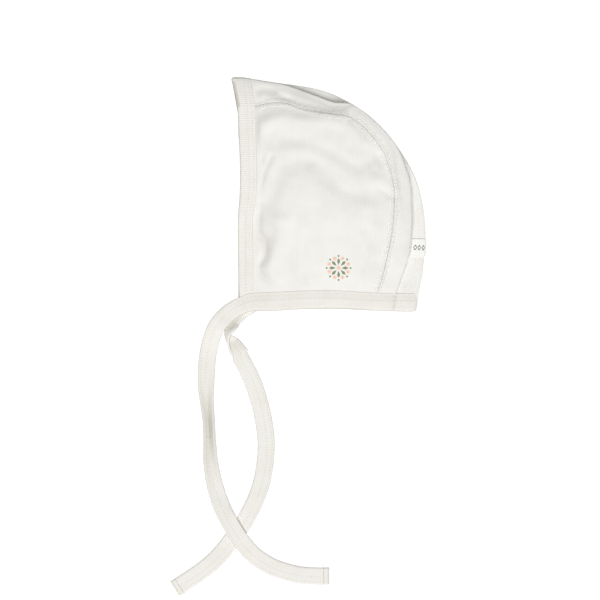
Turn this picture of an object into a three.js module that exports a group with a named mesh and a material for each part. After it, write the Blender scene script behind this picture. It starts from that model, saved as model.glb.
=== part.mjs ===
// A baby's jersey bonnet, put down flat on its right side: two D-shaped side panels, a long crown strip sewn
// between them, a binding round the face edge, a binding round the neck edge that runs on into two ties, and a
// small woven label over the centre back.
// Millimetres. +Z is up from the table, +Y is towards the crown, -X is the face opening.
// Tables give places before the last step, which puts the origin on the table under the bonnet's middle.
import * as THREE from "three";

// Driving dimensions
const CLOTH = 1.0; // jersey
const CLEARANCE = 0.3; // between pieces that touch
const BINDING_WALL = 1.0; // one folded wall of the binding
const SEAM_GAP = 0.8; // between two panels at a flat seam
const TUCKED_IN = 5; // how far a cloth edge reaches into a binding
const STRIP_WIDTH = 56; // the crown strip, cut flat
const TIE_WIDTH = 13.3;
const TIE_THICK = 2.4;
const TIE_ROOT_THICK = 3.4; // where a tie leaves the binding
const LABEL_THICK = 0.7;

const SLOT_HALF = CLOTH / 2 + CLEARANCE;
const BINDING_HALF = SLOT_HALF + BINDING_WALL;
const FLOOR_LIFT = CLOTH / 2; // middle of cloth that lies on the table
const BINDING_LIFT = BINDING_HALF; // middle of a binding that lies on the table
const BINDING_RISE = 4; // over this distance cloth on the table comes up into a binding

// The crown strip, one row for each section from the forehead to the nape.
// seam is the seam with the upper panel, crease the fold that shows from above and edge the outline, as [x, y].
// The lifts are heights above the table, round the softness of the crease and tuck its drop behind it.
const STRIP_SECTIONS = [
  { seam: [-56.9, 67.1], seamLift: 12.0, crease: [-60.1, 88.4], creaseLift: 6.0, round: 2.6, tuck: 0.9, edge: [-60.3, 88.6], edgeLift: 3.4 },
  { seam: [-45.2, 69.8], seamLift: 15.5, crease: [-50.9, 86.3], creaseLift: 8.8, round: 4.0, tuck: 2.2, edge: [-50.8, 87.0], edgeLift: 4.0 },
  { seam: [-32.8, 69.4], seamLift: 18.0, crease: [-37.6, 83.9], creaseLift: 10.8, round: 3.5, tuck: 4.0, edge: [-36.9, 84.9], edgeLift: 4.2 },
  { seam: [-21.8, 65.5], seamLift: 19.0, crease: [-25.2, 79.8], creaseLift: 11.8, round: 3.0, tuck: 5.0, edge: [-23.6, 83.1], edgeLift: 4.8 },
  { seam: [-10.1, 62.8], seamLift: 19.5, crease: [-10.9, 74.9], creaseLift: 12.5, round: 2.6, tuck: 5.4, edge: [-8.6, 80.2], edgeLift: 5.2 },
  { seam: [2.3, 60.8], seamLift: 20.5, crease: [2.3, 70.4], creaseLift: 14.2, round: 2.4, tuck: 6.4, edge: [5.5, 75.5], edgeLift: 5.2 },
  { seam: [15.6, 58.9], seamLift: 21.5, crease: [17.0, 68.5], creaseLift: 17.5, round: 1.2, tuck: 6.0, edge: [17.9, 69.0], edgeLift: 5.0 },
  { seam: [25.7, 52.3], seamLift: 22.0, crease: [30.3, 59.9], creaseLift: 19.5, round: 1.0, tuck: 6.0, edge: [30.7, 60.3], edgeLift: 5.0 },
  { seam: [35.1, 42.5], seamLift: 21.8, crease: [42.8, 48.2], creaseLift: 19.0, round: 1.0, tuck: 5.5, edge: [43.2, 48.6], edgeLift: 5.0 },
  { seam: [42.9, 31.6], seamLift: 20.8, crease: [53.0, 35.4], creaseLift: 16.0, round: 2.2, tuck: 5.0, edge: [53.6, 35.6], edgeLift: 4.8 },
  { seam: [47.6, 19.5], seamLift: 19.4, crease: [59.9, 20.9], creaseLift: 12.0, round: 6.5, tuck: 5.0, edge: [63.8, 19.6], edgeLift: 4.2 },
  { seam: [50.7, 7.0], seamLift: 18.6, crease: [63.6, 7.2], creaseLift: 11.0, round: 8.0, tuck: 6.0, edge: [69.4, 6.8], edgeLift: 3.8 },
  { seam: [51.7, -7.8], seamLift: 18.0, crease: [64.7, -7.8], creaseLift: 11.5, round: 7.0, tuck: 6.5, edge: [73.0, -8.2], edgeLift: 3.8 },
  { seam: [50.7, -22.6], seamLift: 17.5, crease: [64.8, -22.8], creaseLift: 12.0, round: 5.0, tuck: 6.5, edge: [75.1, -23.0], edgeLift: 3.8 },
  { seam: [48.8, -36.7], seamLift: 16.5, crease: [63.8, -37.2], creaseLift: 12.5, round: 3.5, tuck: 6.0, edge: [75.4, -37.4], edgeLift: 3.8 },
  { seam: [46.0, -49.9], seamLift: 15.5, crease: [61.6, -51.0], creaseLift: 12.0, round: 3.5, tuck: 5.5, edge: [74.3, -51.4], edgeLift: 3.8 },
  { seam: [42.9, -63.2], seamLift: 13.5, crease: [57.4, -64.6], creaseLift: 10.5, round: 3.0, tuck: 4.0, edge: [72.8, -65.0], edgeLift: 3.8 },
  { seam: [38.2, -78.0], seamLift: 10.5, crease: [52.5, -79.0], creaseLift: 8.2, round: 2.5, tuck: 1.6, edge: [70.0, -78.4], edgeLift: 4.6 },
];
const CREASE_TUCK_IN = 0.25; // how far the cloth goes back under the crease, as a share of its tuck
const STRIP_CROWN = 0.6; // how much the strip bulges between the seam and the crease
const UNDER_EVENING = 3; // sections to each side over which the strip's lower seam is evened out
const LAST_SECTION = STRIP_SECTIONS.length - 1;
const PANEL_CORNER = 6.6; // the section where the panel's grid turns from its top to its back side
const FACE_SECTION_STEP = 12; // between sections near the face edge
const NECK_SECTION_STEP = 14.5; // between sections near the neck edge

// The edge of the upper panel in the face binding, from the neck to the crown strip.
// across is the binding's width there, from the panel out to the folded edge, and dip how much higher that edge is.
const FACE_EDGE = [
  { at: [-58.5, -77.6], lift: 6.2, across: [-10.9, -3.0], dip: 0.0 },
  { at: [-58.5, -60.0], lift: 7.2, across: [-11.4, 0.0], dip: 1.6 },
  { at: [-58.9, -36.7], lift: 9.0, across: [-11.3, 0.0], dip: 2.4 },
  { at: [-58.5, -17.2], lift: 11.8, across: [-11.4, 0.0], dip: 2.0 },
  { at: [-55.9, -1.6], lift: 13.6, across: [-12.9, 0.0], dip: 0.8 },
  { at: [-55.4, 21.8], lift: 14.0, across: [-13.2, 0.0], dip: -0.4 },
  { at: [-56.2, 45.2], lift: 13.2, across: [-13.4, 0.0], dip: -1.0 },
];
const FACE_ACROSS_CROWN = [
  { across: [-13.6, 0.0], dip: -1.0 }, // upper seam
  { across: [-15.4, 0.0], dip: 0.0 }, // fold over the forehead
  { across: [-14.2, 0.0], dip: 0.0 }, // lower seam
];
const FACE_ACROSS_UNDER = [-11.4, 0.0];
const FACE_ACROSS_CORNER = [-11.4, -5.6]; // at the lower leg's end, beside the lower tie

// The edge of the upper panel in the neck binding, from the tie to the crown strip.
const NECK_EDGE = [
  { at: [-67.5, -80.6], lift: 6.4, across: [4.7, -12.2], dip: 0.0 },
  { at: [-63.2, -79.0], lift: 6.3, across: [3.2, -13.5], dip: 0.0 },
  { at: [-58.5, -78.0], lift: 6.2, across: [2.4, -14.3], dip: 0.0 },
  { at: [-37.4, -77.1], lift: 8.4, across: [0.4, -14.6], dip: -0.6 },
  { at: [-17.9, -76.2], lift: 10.6, across: [0.0, -14.2], dip: -1.0 },
  { at: [9.4, -76.2], lift: 12.4, across: [0.0, -13.8], dip: -1.0 },
  { at: [25.0, -77.2], lift: 12.4, across: [0.0, -13.5], dip: -1.0 },
];
const NECK_ACROSS_CROWN = [
  { across: [-0.4, -13.9], dip: -1.0 }, // upper seam
  { across: [-3.0, -14.2], dip: 0.0 }, // fold at the nape
  { across: [-0.4, -14.0], dip: 0.0 }, // lower seam
];
const TIE_ROOTS = 2; // rows of NECK_EDGE past the panel's corner, where the binding becomes a tie
// The same past the lower panel's corner, in order from there.
const NECK_UNDER = [
  { at: [-62.5, -80.4], across: [4.0, -13.4], dip: 0.0 },
  { at: [-66.4, -83.0], across: [6.2, -12.0], dip: 0.0 },
];

// Folds of the upper panel, each a soft ridge or, where its height is negative, a valley along a path.
const PANEL_FOLDS = [
  { height: 2.0, width: 6, path: [[-58, 40], [-50, 52], [-38, 57], [-22, 56], [-4, 56], [14, 52], [28, 40]] },
  { height: -1.6, width: 6, path: [[-36, 40], [-15, 39], [-3, 34], [7, 29], [15, 23], [20, 20]] },
  { height: -2.0, width: 8, path: [[-54, -14], [-45, -4], [-40, 10], [-32, 20], [-20, 25]] },
  { height: -2.2, width: 7.5, path: [[-10, 22], [-3, 16], [5, 7], [12, 1], [20, -1], [31, -2], [44, -4]] },
  { height: -2.0, width: 6, path: [[34, 22], [40, 25], [37, 18]] },
  { height: -2.4, width: 4, path: [[-56, -19], [-54, -31], [-49, -39], [-49, -50], [-54, -58], [-49, -66], [-40, -76]] },
  { height: 2.6, width: 7, path: [[-36, -23], [-38, -40], [-45, -57], [-40, -73]] },
  { height: -1.6, width: 8, path: [[41, -17], [40, -37], [38, -54]] },
];
const PANEL_DOME = 7.5;
const FOLD_CURVE_STEPS = 6; // of a fold's curve for each point of its path
const FOLD_FADE = { face: 0.06, neck: 0.1 }; // shares of the panel over which folds die out at its bindings

// The ties. Each row gives a place on the line along which the tie may be bent, which is its middle or lies bend
// millimetres to the right of it. lift is the gap under the tie, roll its turn about that line and gutter how far
// its two edges stand up from it, in degrees.
const UPPER_TIE = [
  { at: [-65.5, -86.9], lift: 4.7, roll: 0, gutter: 0 },
  { at: [-70.2, -88.9], lift: 4.9, roll: 0, gutter: 0 },
  { at: [-75.7, -92.2], lift: 5.6, roll: 0, gutter: 0 },
  { at: [-80.4, -96.2], lift: 6.0, roll: 0, gutter: 0 },
  { at: [-84.4, -100.6], lift: 6.5, roll: 0, gutter: 0 },
  { at: [-88.1, -106.5], lift: 5.5, roll: 0, gutter: 0 },
  { at: [-90.6, -112.9], lift: 3.0, roll: 0, gutter: 0 },
  { at: [-92.5, -120.4], lift: 0.8, roll: 0, gutter: 0 },
  { at: [-93.9, -127.8], lift: 0.2, roll: 0, gutter: 0 },
  { at: [-94.9, -140.9], lift: 0, roll: 0, gutter: 4 },
  { at: [-95.0, -151.2], lift: 0, roll: 2, gutter: 20 },
  { at: [-94.4, -161.1], lift: 0, roll: 4, gutter: 38 },
  { at: [-93.3, -170.8], lift: 0, roll: 6, gutter: 45 },
  { at: [-92.4, -180.2], lift: 0, roll: 6, gutter: 49 },
  { at: [-92.1, -189.5], lift: 0, roll: 6, gutter: 48 },
  { at: [-91.8, -198.9], lift: 0, roll: 4, gutter: 43 },
  { at: [-91.5, -208.3], lift: 0, roll: 2, gutter: 35 },
  { at: [-90.3, -217.6], lift: 0, roll: 0, gutter: 28 },
  { at: [-88.4, -227.0], lift: 0, roll: 0, gutter: 21 },
  { at: [-85.7, -236.3], lift: 0.5, roll: 0, gutter: 8 },
  { at: [-82.2, -245.7], lift: 1.9, roll: 0, gutter: 0 },
  { at: [-77.9, -254.3], lift: 3.0, roll: 0, gutter: 0 },
  { at: [-72.8, -263.3], lift: 3.1, roll: 0, gutter: 0 },
  { at: [-67.4, -271.4], lift: 3.0, roll: 0, gutter: 0 },
  { at: [-61.5, -278.6], lift: 2.0, roll: 0, gutter: 0 },
  { at: [-54.9, -284.6], lift: 0.5, roll: 0, gutter: 0 },
  { at: [-43.4, -291.5], lift: 0, roll: 0, gutter: 0 },
  { at: [-31.4, -295.7], lift: 0, roll: 0, gutter: 0 },
  { at: [-21.0, -297.9], lift: 0, roll: 0, gutter: 0 },
  { at: [-10.0, -298.7], lift: 0, roll: 0, gutter: 0 },
  { at: [1.0, -298.7], lift: 0, roll: 0, gutter: 0 },
];
const LOWER_TIE = [
  { at: [-64.1, -89.4], lift: 0.1, roll: 0, gutter: 0 },
  { at: [-67.2, -91.4], lift: 0, roll: 4, gutter: 0 },
  { at: [-70.6, -94.2], lift: 0, roll: 12, gutter: 0, bend: -0.6 },
  { at: [-75.8, -98.4], lift: 0, roll: 26, gutter: -4, bend: -2.2 },
  { at: [-78.9, -103.8], lift: 0, roll: 56, gutter: -20, bend: -3.4 },
  { at: [-80.1, -110.6], lift: 0, roll: 95, gutter: -55, bend: -1.0 },
  { at: [-77.9, -117.4], lift: 0, roll: 116, gutter: -58, bend: 3.4 },
  { at: [-75.4, -123.4], lift: 0, roll: 145, gutter: -35, bend: 4.8 },
  { at: [-72.4, -129.4], lift: 0, roll: 178, gutter: -2, bend: 4.6 },
  { at: [-66.9, -135.9], lift: 0, roll: 180, gutter: 0, bend: 2.6 },
  { at: [-62.1, -142.0], lift: 0, roll: 180, gutter: 0, bend: 1.0 },
  { at: [-58.3, -148.2], lift: 0, roll: 180, gutter: 0 },
  { at: [-55.6, -156.0], lift: 0, roll: 180, gutter: 0 },
  { at: [-52.8, -165.4], lift: 0, roll: 180, gutter: 0 },
  { at: [-50.7, -174.7], lift: 0, roll: 180, gutter: 0 },
  { at: [-49.0, -184.9], lift: 0, roll: 180, gutter: 0 },
  { at: [-48.2, -195.0], lift: 0, roll: 180, gutter: 0 },
  { at: [-48.6, -205.9], lift: 0, roll: 180, gutter: 0 },
  { at: [-49.9, -216.8], lift: 0, roll: 180, gutter: 0 },
  { at: [-52.1, -227.0], lift: 0, roll: 180, gutter: 0 },
  { at: [-55.3, -236.3], lift: 0, roll: 180, gutter: 0 },
  { at: [-59.2, -245.1], lift: 0, roll: 180, gutter: 0 },
  { at: [-64.0, -254.0], lift: 0, roll: 180, gutter: 0 },
  { at: [-69.6, -262.9], lift: 0, roll: 180, gutter: 0 },
  { at: [-75.8, -271.4], lift: 0, roll: 180, gutter: 0 },
  { at: [-82.5, -279.9], lift: 0, roll: 180, gutter: 0 },
  { at: [-90.1, -287.8], lift: 0, roll: 180, gutter: 0 },
  { at: [-99.0, -295.0], lift: 0, roll: 180, gutter: 0 },
  { at: [-108.2, -301.3], lift: 0, roll: 180, gutter: 0 },
  { at: [-119.4, -308.6], lift: 0, roll: 180, gutter: 0 },
];
const TIE_STEPS = 60;
const TIE_EDGE = 0.8; // how far in from its edges a tie is rounded
const TIE_SWELL = 1.06; // how much thicker a tie is in its middle
const TIE_THINS_OVER = 1 / 12; // the share of a tie over which it thins from its root

// The label's place on the crown strip: along it in sections, and round it in profile points.
const LABEL = { from: 13.9, to: 14.87, start: 4.5, end: 6.45 };

// Colours, from the photo
const OFF_WHITE = 0xf0eee9;
const BINDING_WHITE = 0xedeae3;
const LABEL_WHITE = 0xf5f4f1;

// Curves and blends
const vec = (x, y, z) => new THREE.Vector3(x, y, z);
const mix = (a, b, t) => a + (b - a) * t;
const curveThrough = (points) => new THREE.CatmullRomCurve3(points, false, "centripetal");
const smooth = (t) => {
  const s = Math.min(Math.max(t, 0), 1);
  return s * s * (3 - 2 * s);
};
const range = (count) => Array.from({ length: count + 1 }, (_, i) => i / count);

// How high the middle of the cloth lies where it is on the table, from its distances to the two bindings.
function restingLift(fromFace, fromNeck) {
  const near = Math.exp(-((Math.min(fromFace, fromNeck) / BINDING_RISE) ** 2));
  return mix(FLOOR_LIFT, BINDING_LIFT, near);
}
const stripLift = (t) => restingLift(t * FACE_SECTION_STEP, (LAST_SECTION - t) * NECK_SECTION_STEP);

// The part of one section of the crown strip that shows, as distances out from the upper seam and heights.
function shownProfile(row) {
  const seam = vec(...row.seam, 0);
  const outward = vec(...row.edge, 0).sub(seam);
  const reach = outward.length();
  outward.normalize();
  const crease = vec(...row.crease, 0).sub(seam).dot(outward);
  const { seamLift, creaseLift, round, tuck, edgeLift } = row;
  const behind = creaseLift - tuck;
  const shoulder = [crease - round, creaseLift + 0.6 * round];
  const turn = Math.min(edgeLift - FLOOR_LIFT, 2.8);
  const profile = [
    [0, seamLift],
    [shoulder[0] / 2, mix(seamLift, shoulder[1], 0.5) + STRIP_CROWN],
    shoulder,
    [crease, creaseLift],
    [crease - CREASE_TUCK_IN * tuck, behind],
    [mix(crease, reach, 0.5), mix(behind, edgeLift, 0.45)],
    [reach, edgeLift],
    [reach - turn, FLOOR_LIFT + 0.3],
  ];
  const used = profile.slice(1).reduce((sum, p, i) => sum + Math.hypot(p[0] - profile[i][0], p[1] - profile[i][1]), 0);
  return { seam, outward, profile, used };
}

// One whole section: ten points from the upper seam, over the crease and the outline, to the lower seam.
// What lies under the bonnet is what the shown part leaves of the strip's width, evened out over nearby sections.
const shown = STRIP_SECTIONS.map(shownProfile);
function sectionPoints({ seam, outward, profile }, i) {
  const nearby = shown.slice(Math.max(i - UNDER_EVENING, 0), i + UNDER_EVENING + 1);
  const under = STRIP_WIDTH - nearby.reduce((sum, s) => sum + s.used, 0) / nearby.length;
  const turned = profile.at(-1)[0];
  const whole = [...profile, [turned - under / 2, FLOOR_LIFT], [turned - under, FLOOR_LIFT]];
  return whole.map(([r, z]) => vec(seam.x + outward.x * r, seam.y + outward.y * r, z));
}
const sections = shown.map(sectionPoints);
const PROFILE_LAST = sections[0].length - 1;
const strands = sections[0].map((_, k) => curveThrough(sections.map((s) => s[k])));

// A point of the crown strip: t counts the sections and w the profile points.
function stripPoint(t, w) {
  const profile = curveThrough(strands.map((strand) => strand.getPoint(t / LAST_SECTION)));
  const p = profile.getPoint(w / PROFILE_LAST);
  if (w > 5.5) p.z = Math.max(p.z, stripLift(t));
  return p;
}
const upperSeam = (t) => strands[0].getPoint(t / LAST_SECTION);
function lowerSeam(t) {
  const p = strands[PROFILE_LAST].getPoint(t / LAST_SECTION);
  p.z = stripLift(t);
  return p;
}

// The panels' edges where they enter the bindings
const edgePoint = (row) => vec(...row.at, row.lift);
const faceEdgeUpper = curveThrough([...FACE_EDGE.map(edgePoint), upperSeam(0)]);
const neckEdgeUpper = curveThrough([...NECK_EDGE.slice(TIE_ROOTS).map(edgePoint), upperSeam(LAST_SECTION)]);
const onTable = (p) => vec(p.x, p.y, BINDING_LIFT);
const faceEdgeLower = curveThrough([...FACE_EDGE.map((r) => onTable(edgePoint(r))), lowerSeam(0)]);
const neckEdgeLower = curveThrough([
  ...NECK_EDGE.slice(TIE_ROOTS).map((r) => onTable(edgePoint(r))),
  lowerSeam(LAST_SECTION),
]);

// Heights that folds add to the upper panel, each along a curve through its path
const foldCurves = PANEL_FOLDS.map(({ path, ...fold }) => {
  const curve = curveThrough(path.map(([x, y]) => vec(x, y, 0)));
  return { ...fold, path: curve.getPoints(FOLD_CURVE_STEPS * path.length - 1).map((p) => [p.x, p.y]) };
});
function distanceToPath(x, y, path) {
  let best = Infinity;
  for (let i = 1; i < path.length; i++) {
    const [ax, ay] = path[i - 1];
    const [dx, dy] = [path[i][0] - ax, path[i][1] - ay];
    const t = THREE.MathUtils.clamp(((x - ax) * dx + (y - ay) * dy) / (dx * dx + dy * dy), 0, 1);
    best = Math.min(best, Math.hypot(x - ax - t * dx, y - ay - t * dy));
  }
  return best;
}
const foldHeight = (x, y) =>
  foldCurves.reduce((sum, f) => sum + f.height * Math.exp(-((distanceToPath(x, y, f.path) / f.width) ** 2)), 0);

// A four-sided patch between four edges: u runs from the face edge to the back, v from the neck to the crown.
function patch(left, right, bottom, top) {
  const corners = [bottom(0), bottom(1), top(0), top(1)];
  return (u, v) => {
    const p = bottom(u).multiplyScalar(1 - v).addScaledVector(top(u), v);
    p.addScaledVector(left(v), 1 - u).addScaledVector(right(v), u);
    p.addScaledVector(corners[0], -(1 - u) * (1 - v)).addScaledVector(corners[1], -u * (1 - v));
    return p.addScaledVector(corners[2], -(1 - u) * v).addScaledVector(corners[3], -u * v);
  };
}
const backSide = (seam) => (v) => seam(mix(LAST_SECTION, PANEL_CORNER, v));
const topSide = (seam) => (u) => seam(mix(0, PANEL_CORNER, u));

const upperPatch = patch(
  (v) => faceEdgeUpper.getPoint(v),
  backSide(upperSeam),
  (u) => neckEdgeUpper.getPoint(u),
  topSide(upperSeam),
);
const lowerPatch = patch(
  (v) => faceEdgeLower.getPoint(v),
  backSide(lowerSeam),
  (u) => neckEdgeLower.getPoint(u),
  topSide(lowerSeam),
);

function upperPanelPoint(u, v) {
  const p = upperPatch(u, v);
  const fade = smooth(u / FOLD_FADE.face) * smooth(v / FOLD_FADE.neck);
  p.z += PANEL_DOME * Math.sin(Math.PI * u) * Math.sin(Math.PI * v) + fade * foldHeight(p.x, p.y);
  return p;
}
function lowerPanelPoint(u, v) {
  const p = lowerPatch(u, v);
  p.z = restingLift(u * PANEL_CORNER * FACE_SECTION_STEP, v * (LAST_SECTION - PANEL_CORNER) * NECK_SECTION_STEP);
  return p;
}

// A binding's course: its inner edge, where the cloth goes in, and the vector from there to its folded outer edge.
const across3 = (row) => vec(...row.across, row.dip);
function legCourse(edge, rows, crownRow, from, steps) {
  const spread = curveThrough([...rows.map(across3), across3(crownRow)]);
  return range(steps).map((t) => {
    const s = mix(from, 1, t);
    return { inner: edge.getPoint(s), across: spread.getPoint(s) };
  });
}
function crownCourse(t, crownRows, count) {
  const spread = curveThrough(crownRows.map(across3));
  return range(count).slice(1, -1).map((s) => ({
    inner: stripPoint(t, s * PROFILE_LAST),
    across: spread.getPoint(s),
  }));
}
function underCourse(edge, crownRow, across, steps) {
  return range(steps).map((t) => ({
    inner: edge.getPoint(1 - t),
    across: across3(crownRow).lerp(across, smooth(t * 2)),
  }));
}

// Solids

// A closed mesh from a list of vertices and triangles, with its faces turned outward.
function closedGeometry(vertices, triangles) {
  let volume = 0;
  for (const [a, b, c] of triangles) {
    volume += vertices[a].dot(vec().crossVectors(vertices[b], vertices[c]));
  }
  const faces = volume < 0 ? triangles.map(([a, b, c]) => [a, c, b]) : triangles;
  const geometry = new THREE.BufferGeometry();
  geometry.setAttribute("position", new THREE.Float32BufferAttribute(vertices.flatMap((v) => v.toArray()), 3));
  geometry.setIndex(faces.flat());
  geometry.computeVertexNormals();
  return geometry;
}

// Cloth: a grid of points made into a wall of even thickness.
function clothGeometry(grid, thickness) {
  const rows = grid.length;
  const columns = grid[0].length;
  const at = (i, j) => grid[THREE.MathUtils.clamp(i, 0, rows - 1)][THREE.MathUtils.clamp(j, 0, columns - 1)];
  const faces = [[], []];
  for (let i = 0; i < rows; i++) {
    for (let j = 0; j < columns; j++) {
      const along = at(i + 1, j).clone().sub(at(i - 1, j));
      const over = at(i, j + 1).clone().sub(at(i, j - 1));
      const normal = along.cross(over).normalize();
      faces[0].push(grid[i][j].clone().addScaledVector(normal, thickness / 2));
      faces[1].push(grid[i][j].clone().addScaledVector(normal, -thickness / 2));
    }
  }
  const under = rows * columns;
  const index = (i, j) => i * columns + j;
  const triangles = [];
  for (let i = 0; i < rows - 1; i++) {
    for (let j = 0; j < columns - 1; j++) {
      const [a, b, c, d] = [index(i, j), index(i + 1, j), index(i + 1, j + 1), index(i, j + 1)];
      triangles.push([a, b, c], [a, c, d], [under + a, under + c, under + b], [under + a, under + d, under + c]);
    }
  }
  const rim = [
    ...range(rows - 1).map((_, i) => index(i, 0)),
    ...range(columns - 1).slice(1).map((_, j) => index(rows - 1, j + 1)),
    ...range(rows - 1).slice(1).map((_, i) => index(rows - 2 - i, columns - 1)),
    ...range(columns - 1).slice(1, -1).map((_, j) => index(0, columns - 2 - j)),
  ];
  rim.forEach((a, k) => {
    const b = rim[(k + 1) % rim.length];
    triangles.push([b, a, under + a], [b, under + a, under + b]);
  });
  return closedGeometry([...faces[0], ...faces[1]], triangles);
}

// A flat profile carried along a list of places, each with an origin and the directions of the profile's two axes.
function sweptGeometry(places) {
  const count = places[0].profile.length;
  const vertices = places.flatMap(({ origin, side, up, profile }) =>
    profile.map(([a, b]) => origin.clone().addScaledVector(side, a).addScaledVector(up, b)),
  );
  const triangles = [];
  for (let i = 0; i < places.length - 1; i++) {
    for (let k = 0; k < count; k++) {
      const [a, b] = [i * count + k, i * count + ((k + 1) % count)];
      triangles.push([a, b, b + count], [a, b + count, a + count]);
    }
  }
  const cap = (place, offset, isEnd) => {
    const outline = place.profile.map(([a, b]) => new THREE.Vector2(a, b));
    const turn = Math.sign(THREE.ShapeUtils.area(outline));
    THREE.ShapeUtils.triangulateShape(outline, []).forEach(([a, b, c]) => {
      const sameWay = Math.sign(THREE.ShapeUtils.area([outline[a], outline[b], outline[c]])) === turn;
      const face = sameWay === isEnd ? [a, b, c] : [a, c, b];
      triangles.push(face.map((k) => k + offset));
    });
  };
  cap(places[0], 0, false);
  cap(places.at(-1), (places.length - 1) * count, true);
  return closedGeometry(vertices, triangles);
}

// The section of a binding: folded cloth round a slot that holds the panels' edges.
function bindingProfile(width) {
  const depth = TUCKED_IN + 0.6;
  const nose = 1.3;
  return [
    [0, BINDING_HALF],
    [width - nose, BINDING_HALF],
    [width - nose / 3, BINDING_HALF * 0.7],
    [width, 0],
    [width - nose / 3, -BINDING_HALF * 0.7],
    [width - nose, -BINDING_HALF],
    [0, -BINDING_HALF],
    [0, -SLOT_HALF],
    [depth, -SLOT_HALF],
    [depth, SLOT_HALF],
    [0, SLOT_HALF],
  ];
}

function bindingGeometry(course) {
  const places = course.map(({ inner, across }, i) => {
    const before = course[Math.max(i - 1, 0)];
    const after = course[Math.min(i + 1, course.length - 1)];
    const along = after.inner.clone().addScaledVector(after.across, 0.5);
    along.sub(before.inner).addScaledVector(before.across, -0.5).normalize();
    const side = across.clone().normalize();
    const up = vec().crossVectors(side, along).normalize();
    return { origin: inner, side, up, profile: bindingProfile(across.length()) };
  });
  return sweptGeometry(places);
}

// A tie: a flat folded band with round edges, rolled and bent as its rows say.
function tieGeometry(rows) {
  const path = curveThrough(rows.map((r) => vec(...r.at, r.lift)));
  const pose = curveThrough(rows.map(({ roll, gutter, bend = 0 }) => vec(roll, gutter, bend)));
  const places = range(TIE_STEPS).map((t) => {
    const { x: roll, y: gutter, z: bend } = pose.getPoint(t);
    const turn = THREE.MathUtils.degToRad(roll);
    const [cos, sin] = [Math.cos(THREE.MathUtils.degToRad(gutter)), Math.sin(THREE.MathUtils.degToRad(gutter))];
    const thick = mix(TIE_ROOT_THICK, TIE_THICK, smooth(t / TIE_THINS_OVER)) / 2;
    const forward = path.getTangent(t).setZ(0).normalize();
    const level = vec(-forward.y, forward.x, 0);
    const side = level.clone().multiplyScalar(Math.cos(turn)).add(vec(0, 0, Math.sin(turn)));
    const up = vec(0, 0, Math.cos(turn)).addScaledVector(level, -Math.sin(turn));
    const [left, right] = [TIE_WIDTH / 2 + bend, TIE_WIDTH / 2 - bend];
    const onWing = (way, length, height) => [way * (length * cos - height * sin), length * sin + height * cos];
    const profile = [
      onWing(-1, left, 0),
      onWing(-1, left - TIE_EDGE, thick),
      [0, thick * TIE_SWELL],
      onWing(1, right - TIE_EDGE, thick),
      onWing(1, right, 0),
      onWing(1, right - TIE_EDGE, -thick),
      [0, -thick * TIE_SWELL],
      onWing(-1, left - TIE_EDGE, -thick),
    ];
    const lowest = Math.min(...profile.map(([a, b]) => a * side.z + b * up.z));
    const origin = path.getPoint(t);
    origin.z = Math.max(origin.z, 0) - lowest;
    return { origin, side, up, profile };
  });
  return sweptGeometry(places);
}

// Grids of the cloth pieces, with the margins that go into the bindings
const share = (gap, length) => gap / 2 / length;
function panelGrid(point, face, neck, us, vs) {
  const inset = ({ inner, across }) => inner.clone().addScaledVector(across.clone().normalize(), TUCKED_IN);
  const rows = vs.map((v) => us.map((u) => point(u, v)));
  const neckMargin = us.map((u, i) => inset({ inner: rows[0][i], across: neck(u) }));
  rows.unshift(neckMargin);
  return rows.map((row, j) => {
    const v = j === 0 ? 0 : vs[j - 1];
    return [inset({ inner: row[0], across: face(v) }), ...row];
  });
}

const faceSpread = curveThrough([...FACE_EDGE.map(across3), across3(FACE_ACROSS_CROWN[0])]);
const neckSpread = curveThrough([...NECK_EDGE.slice(TIE_ROOTS).map(across3), across3(NECK_ACROSS_CROWN[0])]);
const faceUnder = vec(...FACE_ACROSS_UNDER, 0);

function upperPanel() {
  const last = 1 - share(SEAM_GAP, 95);
  const us = range(22).map((t) => t * last);
  const vs = range(24).map((t) => t * (1 - share(SEAM_GAP, 150)));
  const face = (v) => faceSpread.getPoint(v);
  const neck = (u) => neckSpread.getPoint(u);
  return clothGeometry(panelGrid(upperPanelPoint, face, neck, us, vs), CLOTH);
}

function lowerPanel() {
  const near = [0, 0.03, 0.07];
  const us = [...near, ...range(10).map((t) => mix(0.14, 1 - share(SEAM_GAP, 95), t))];
  const vs = [...near, ...range(12).map((t) => mix(0.12, 1 - share(SEAM_GAP, 140), t))];
  const neckUnder = vec(0, -1, 0);
  return clothGeometry(panelGrid(lowerPanelPoint, () => faceUnder, () => neckUnder, us, vs), CLOTH);
}

function crownStrip() {
  const edgeShare = share(SEAM_GAP, 6);
  const ws = range(22).map((s) => mix(edgeShare, PROFILE_LAST - edgeShare, s));
  const ts = range(38).map((s) => s * LAST_SECTION);
  const rows = ts.map((t) => ws.map((w) => stripPoint(t, w)));
  const faceCrown = curveThrough(FACE_ACROSS_CROWN.map(across3));
  const neckCrown = curveThrough(NECK_ACROSS_CROWN.map(across3));
  const margin = (row, spread) =>
    row.map((p, k) => p.clone().addScaledVector(spread.getPoint(ws[k] / PROFILE_LAST).normalize(), TUCKED_IN));
  return clothGeometry([margin(rows[0], faceCrown), ...rows, margin(rows.at(-1), neckCrown)], CLOTH);
}

function faceBinding() {
  const start = 0.006;
  return bindingGeometry([
    ...legCourse(faceEdgeUpper, FACE_EDGE, FACE_ACROSS_CROWN[0], start, 14),
    ...crownCourse(0, FACE_ACROSS_CROWN, 22),
    ...underCourse(faceEdgeLower, FACE_ACROSS_CROWN.at(-1), faceUnder, 10).slice(0, -1),
    { inner: faceEdgeLower.getPoint(start), across: vec(...FACE_ACROSS_CORNER, 0) },
  ]);
}

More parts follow.
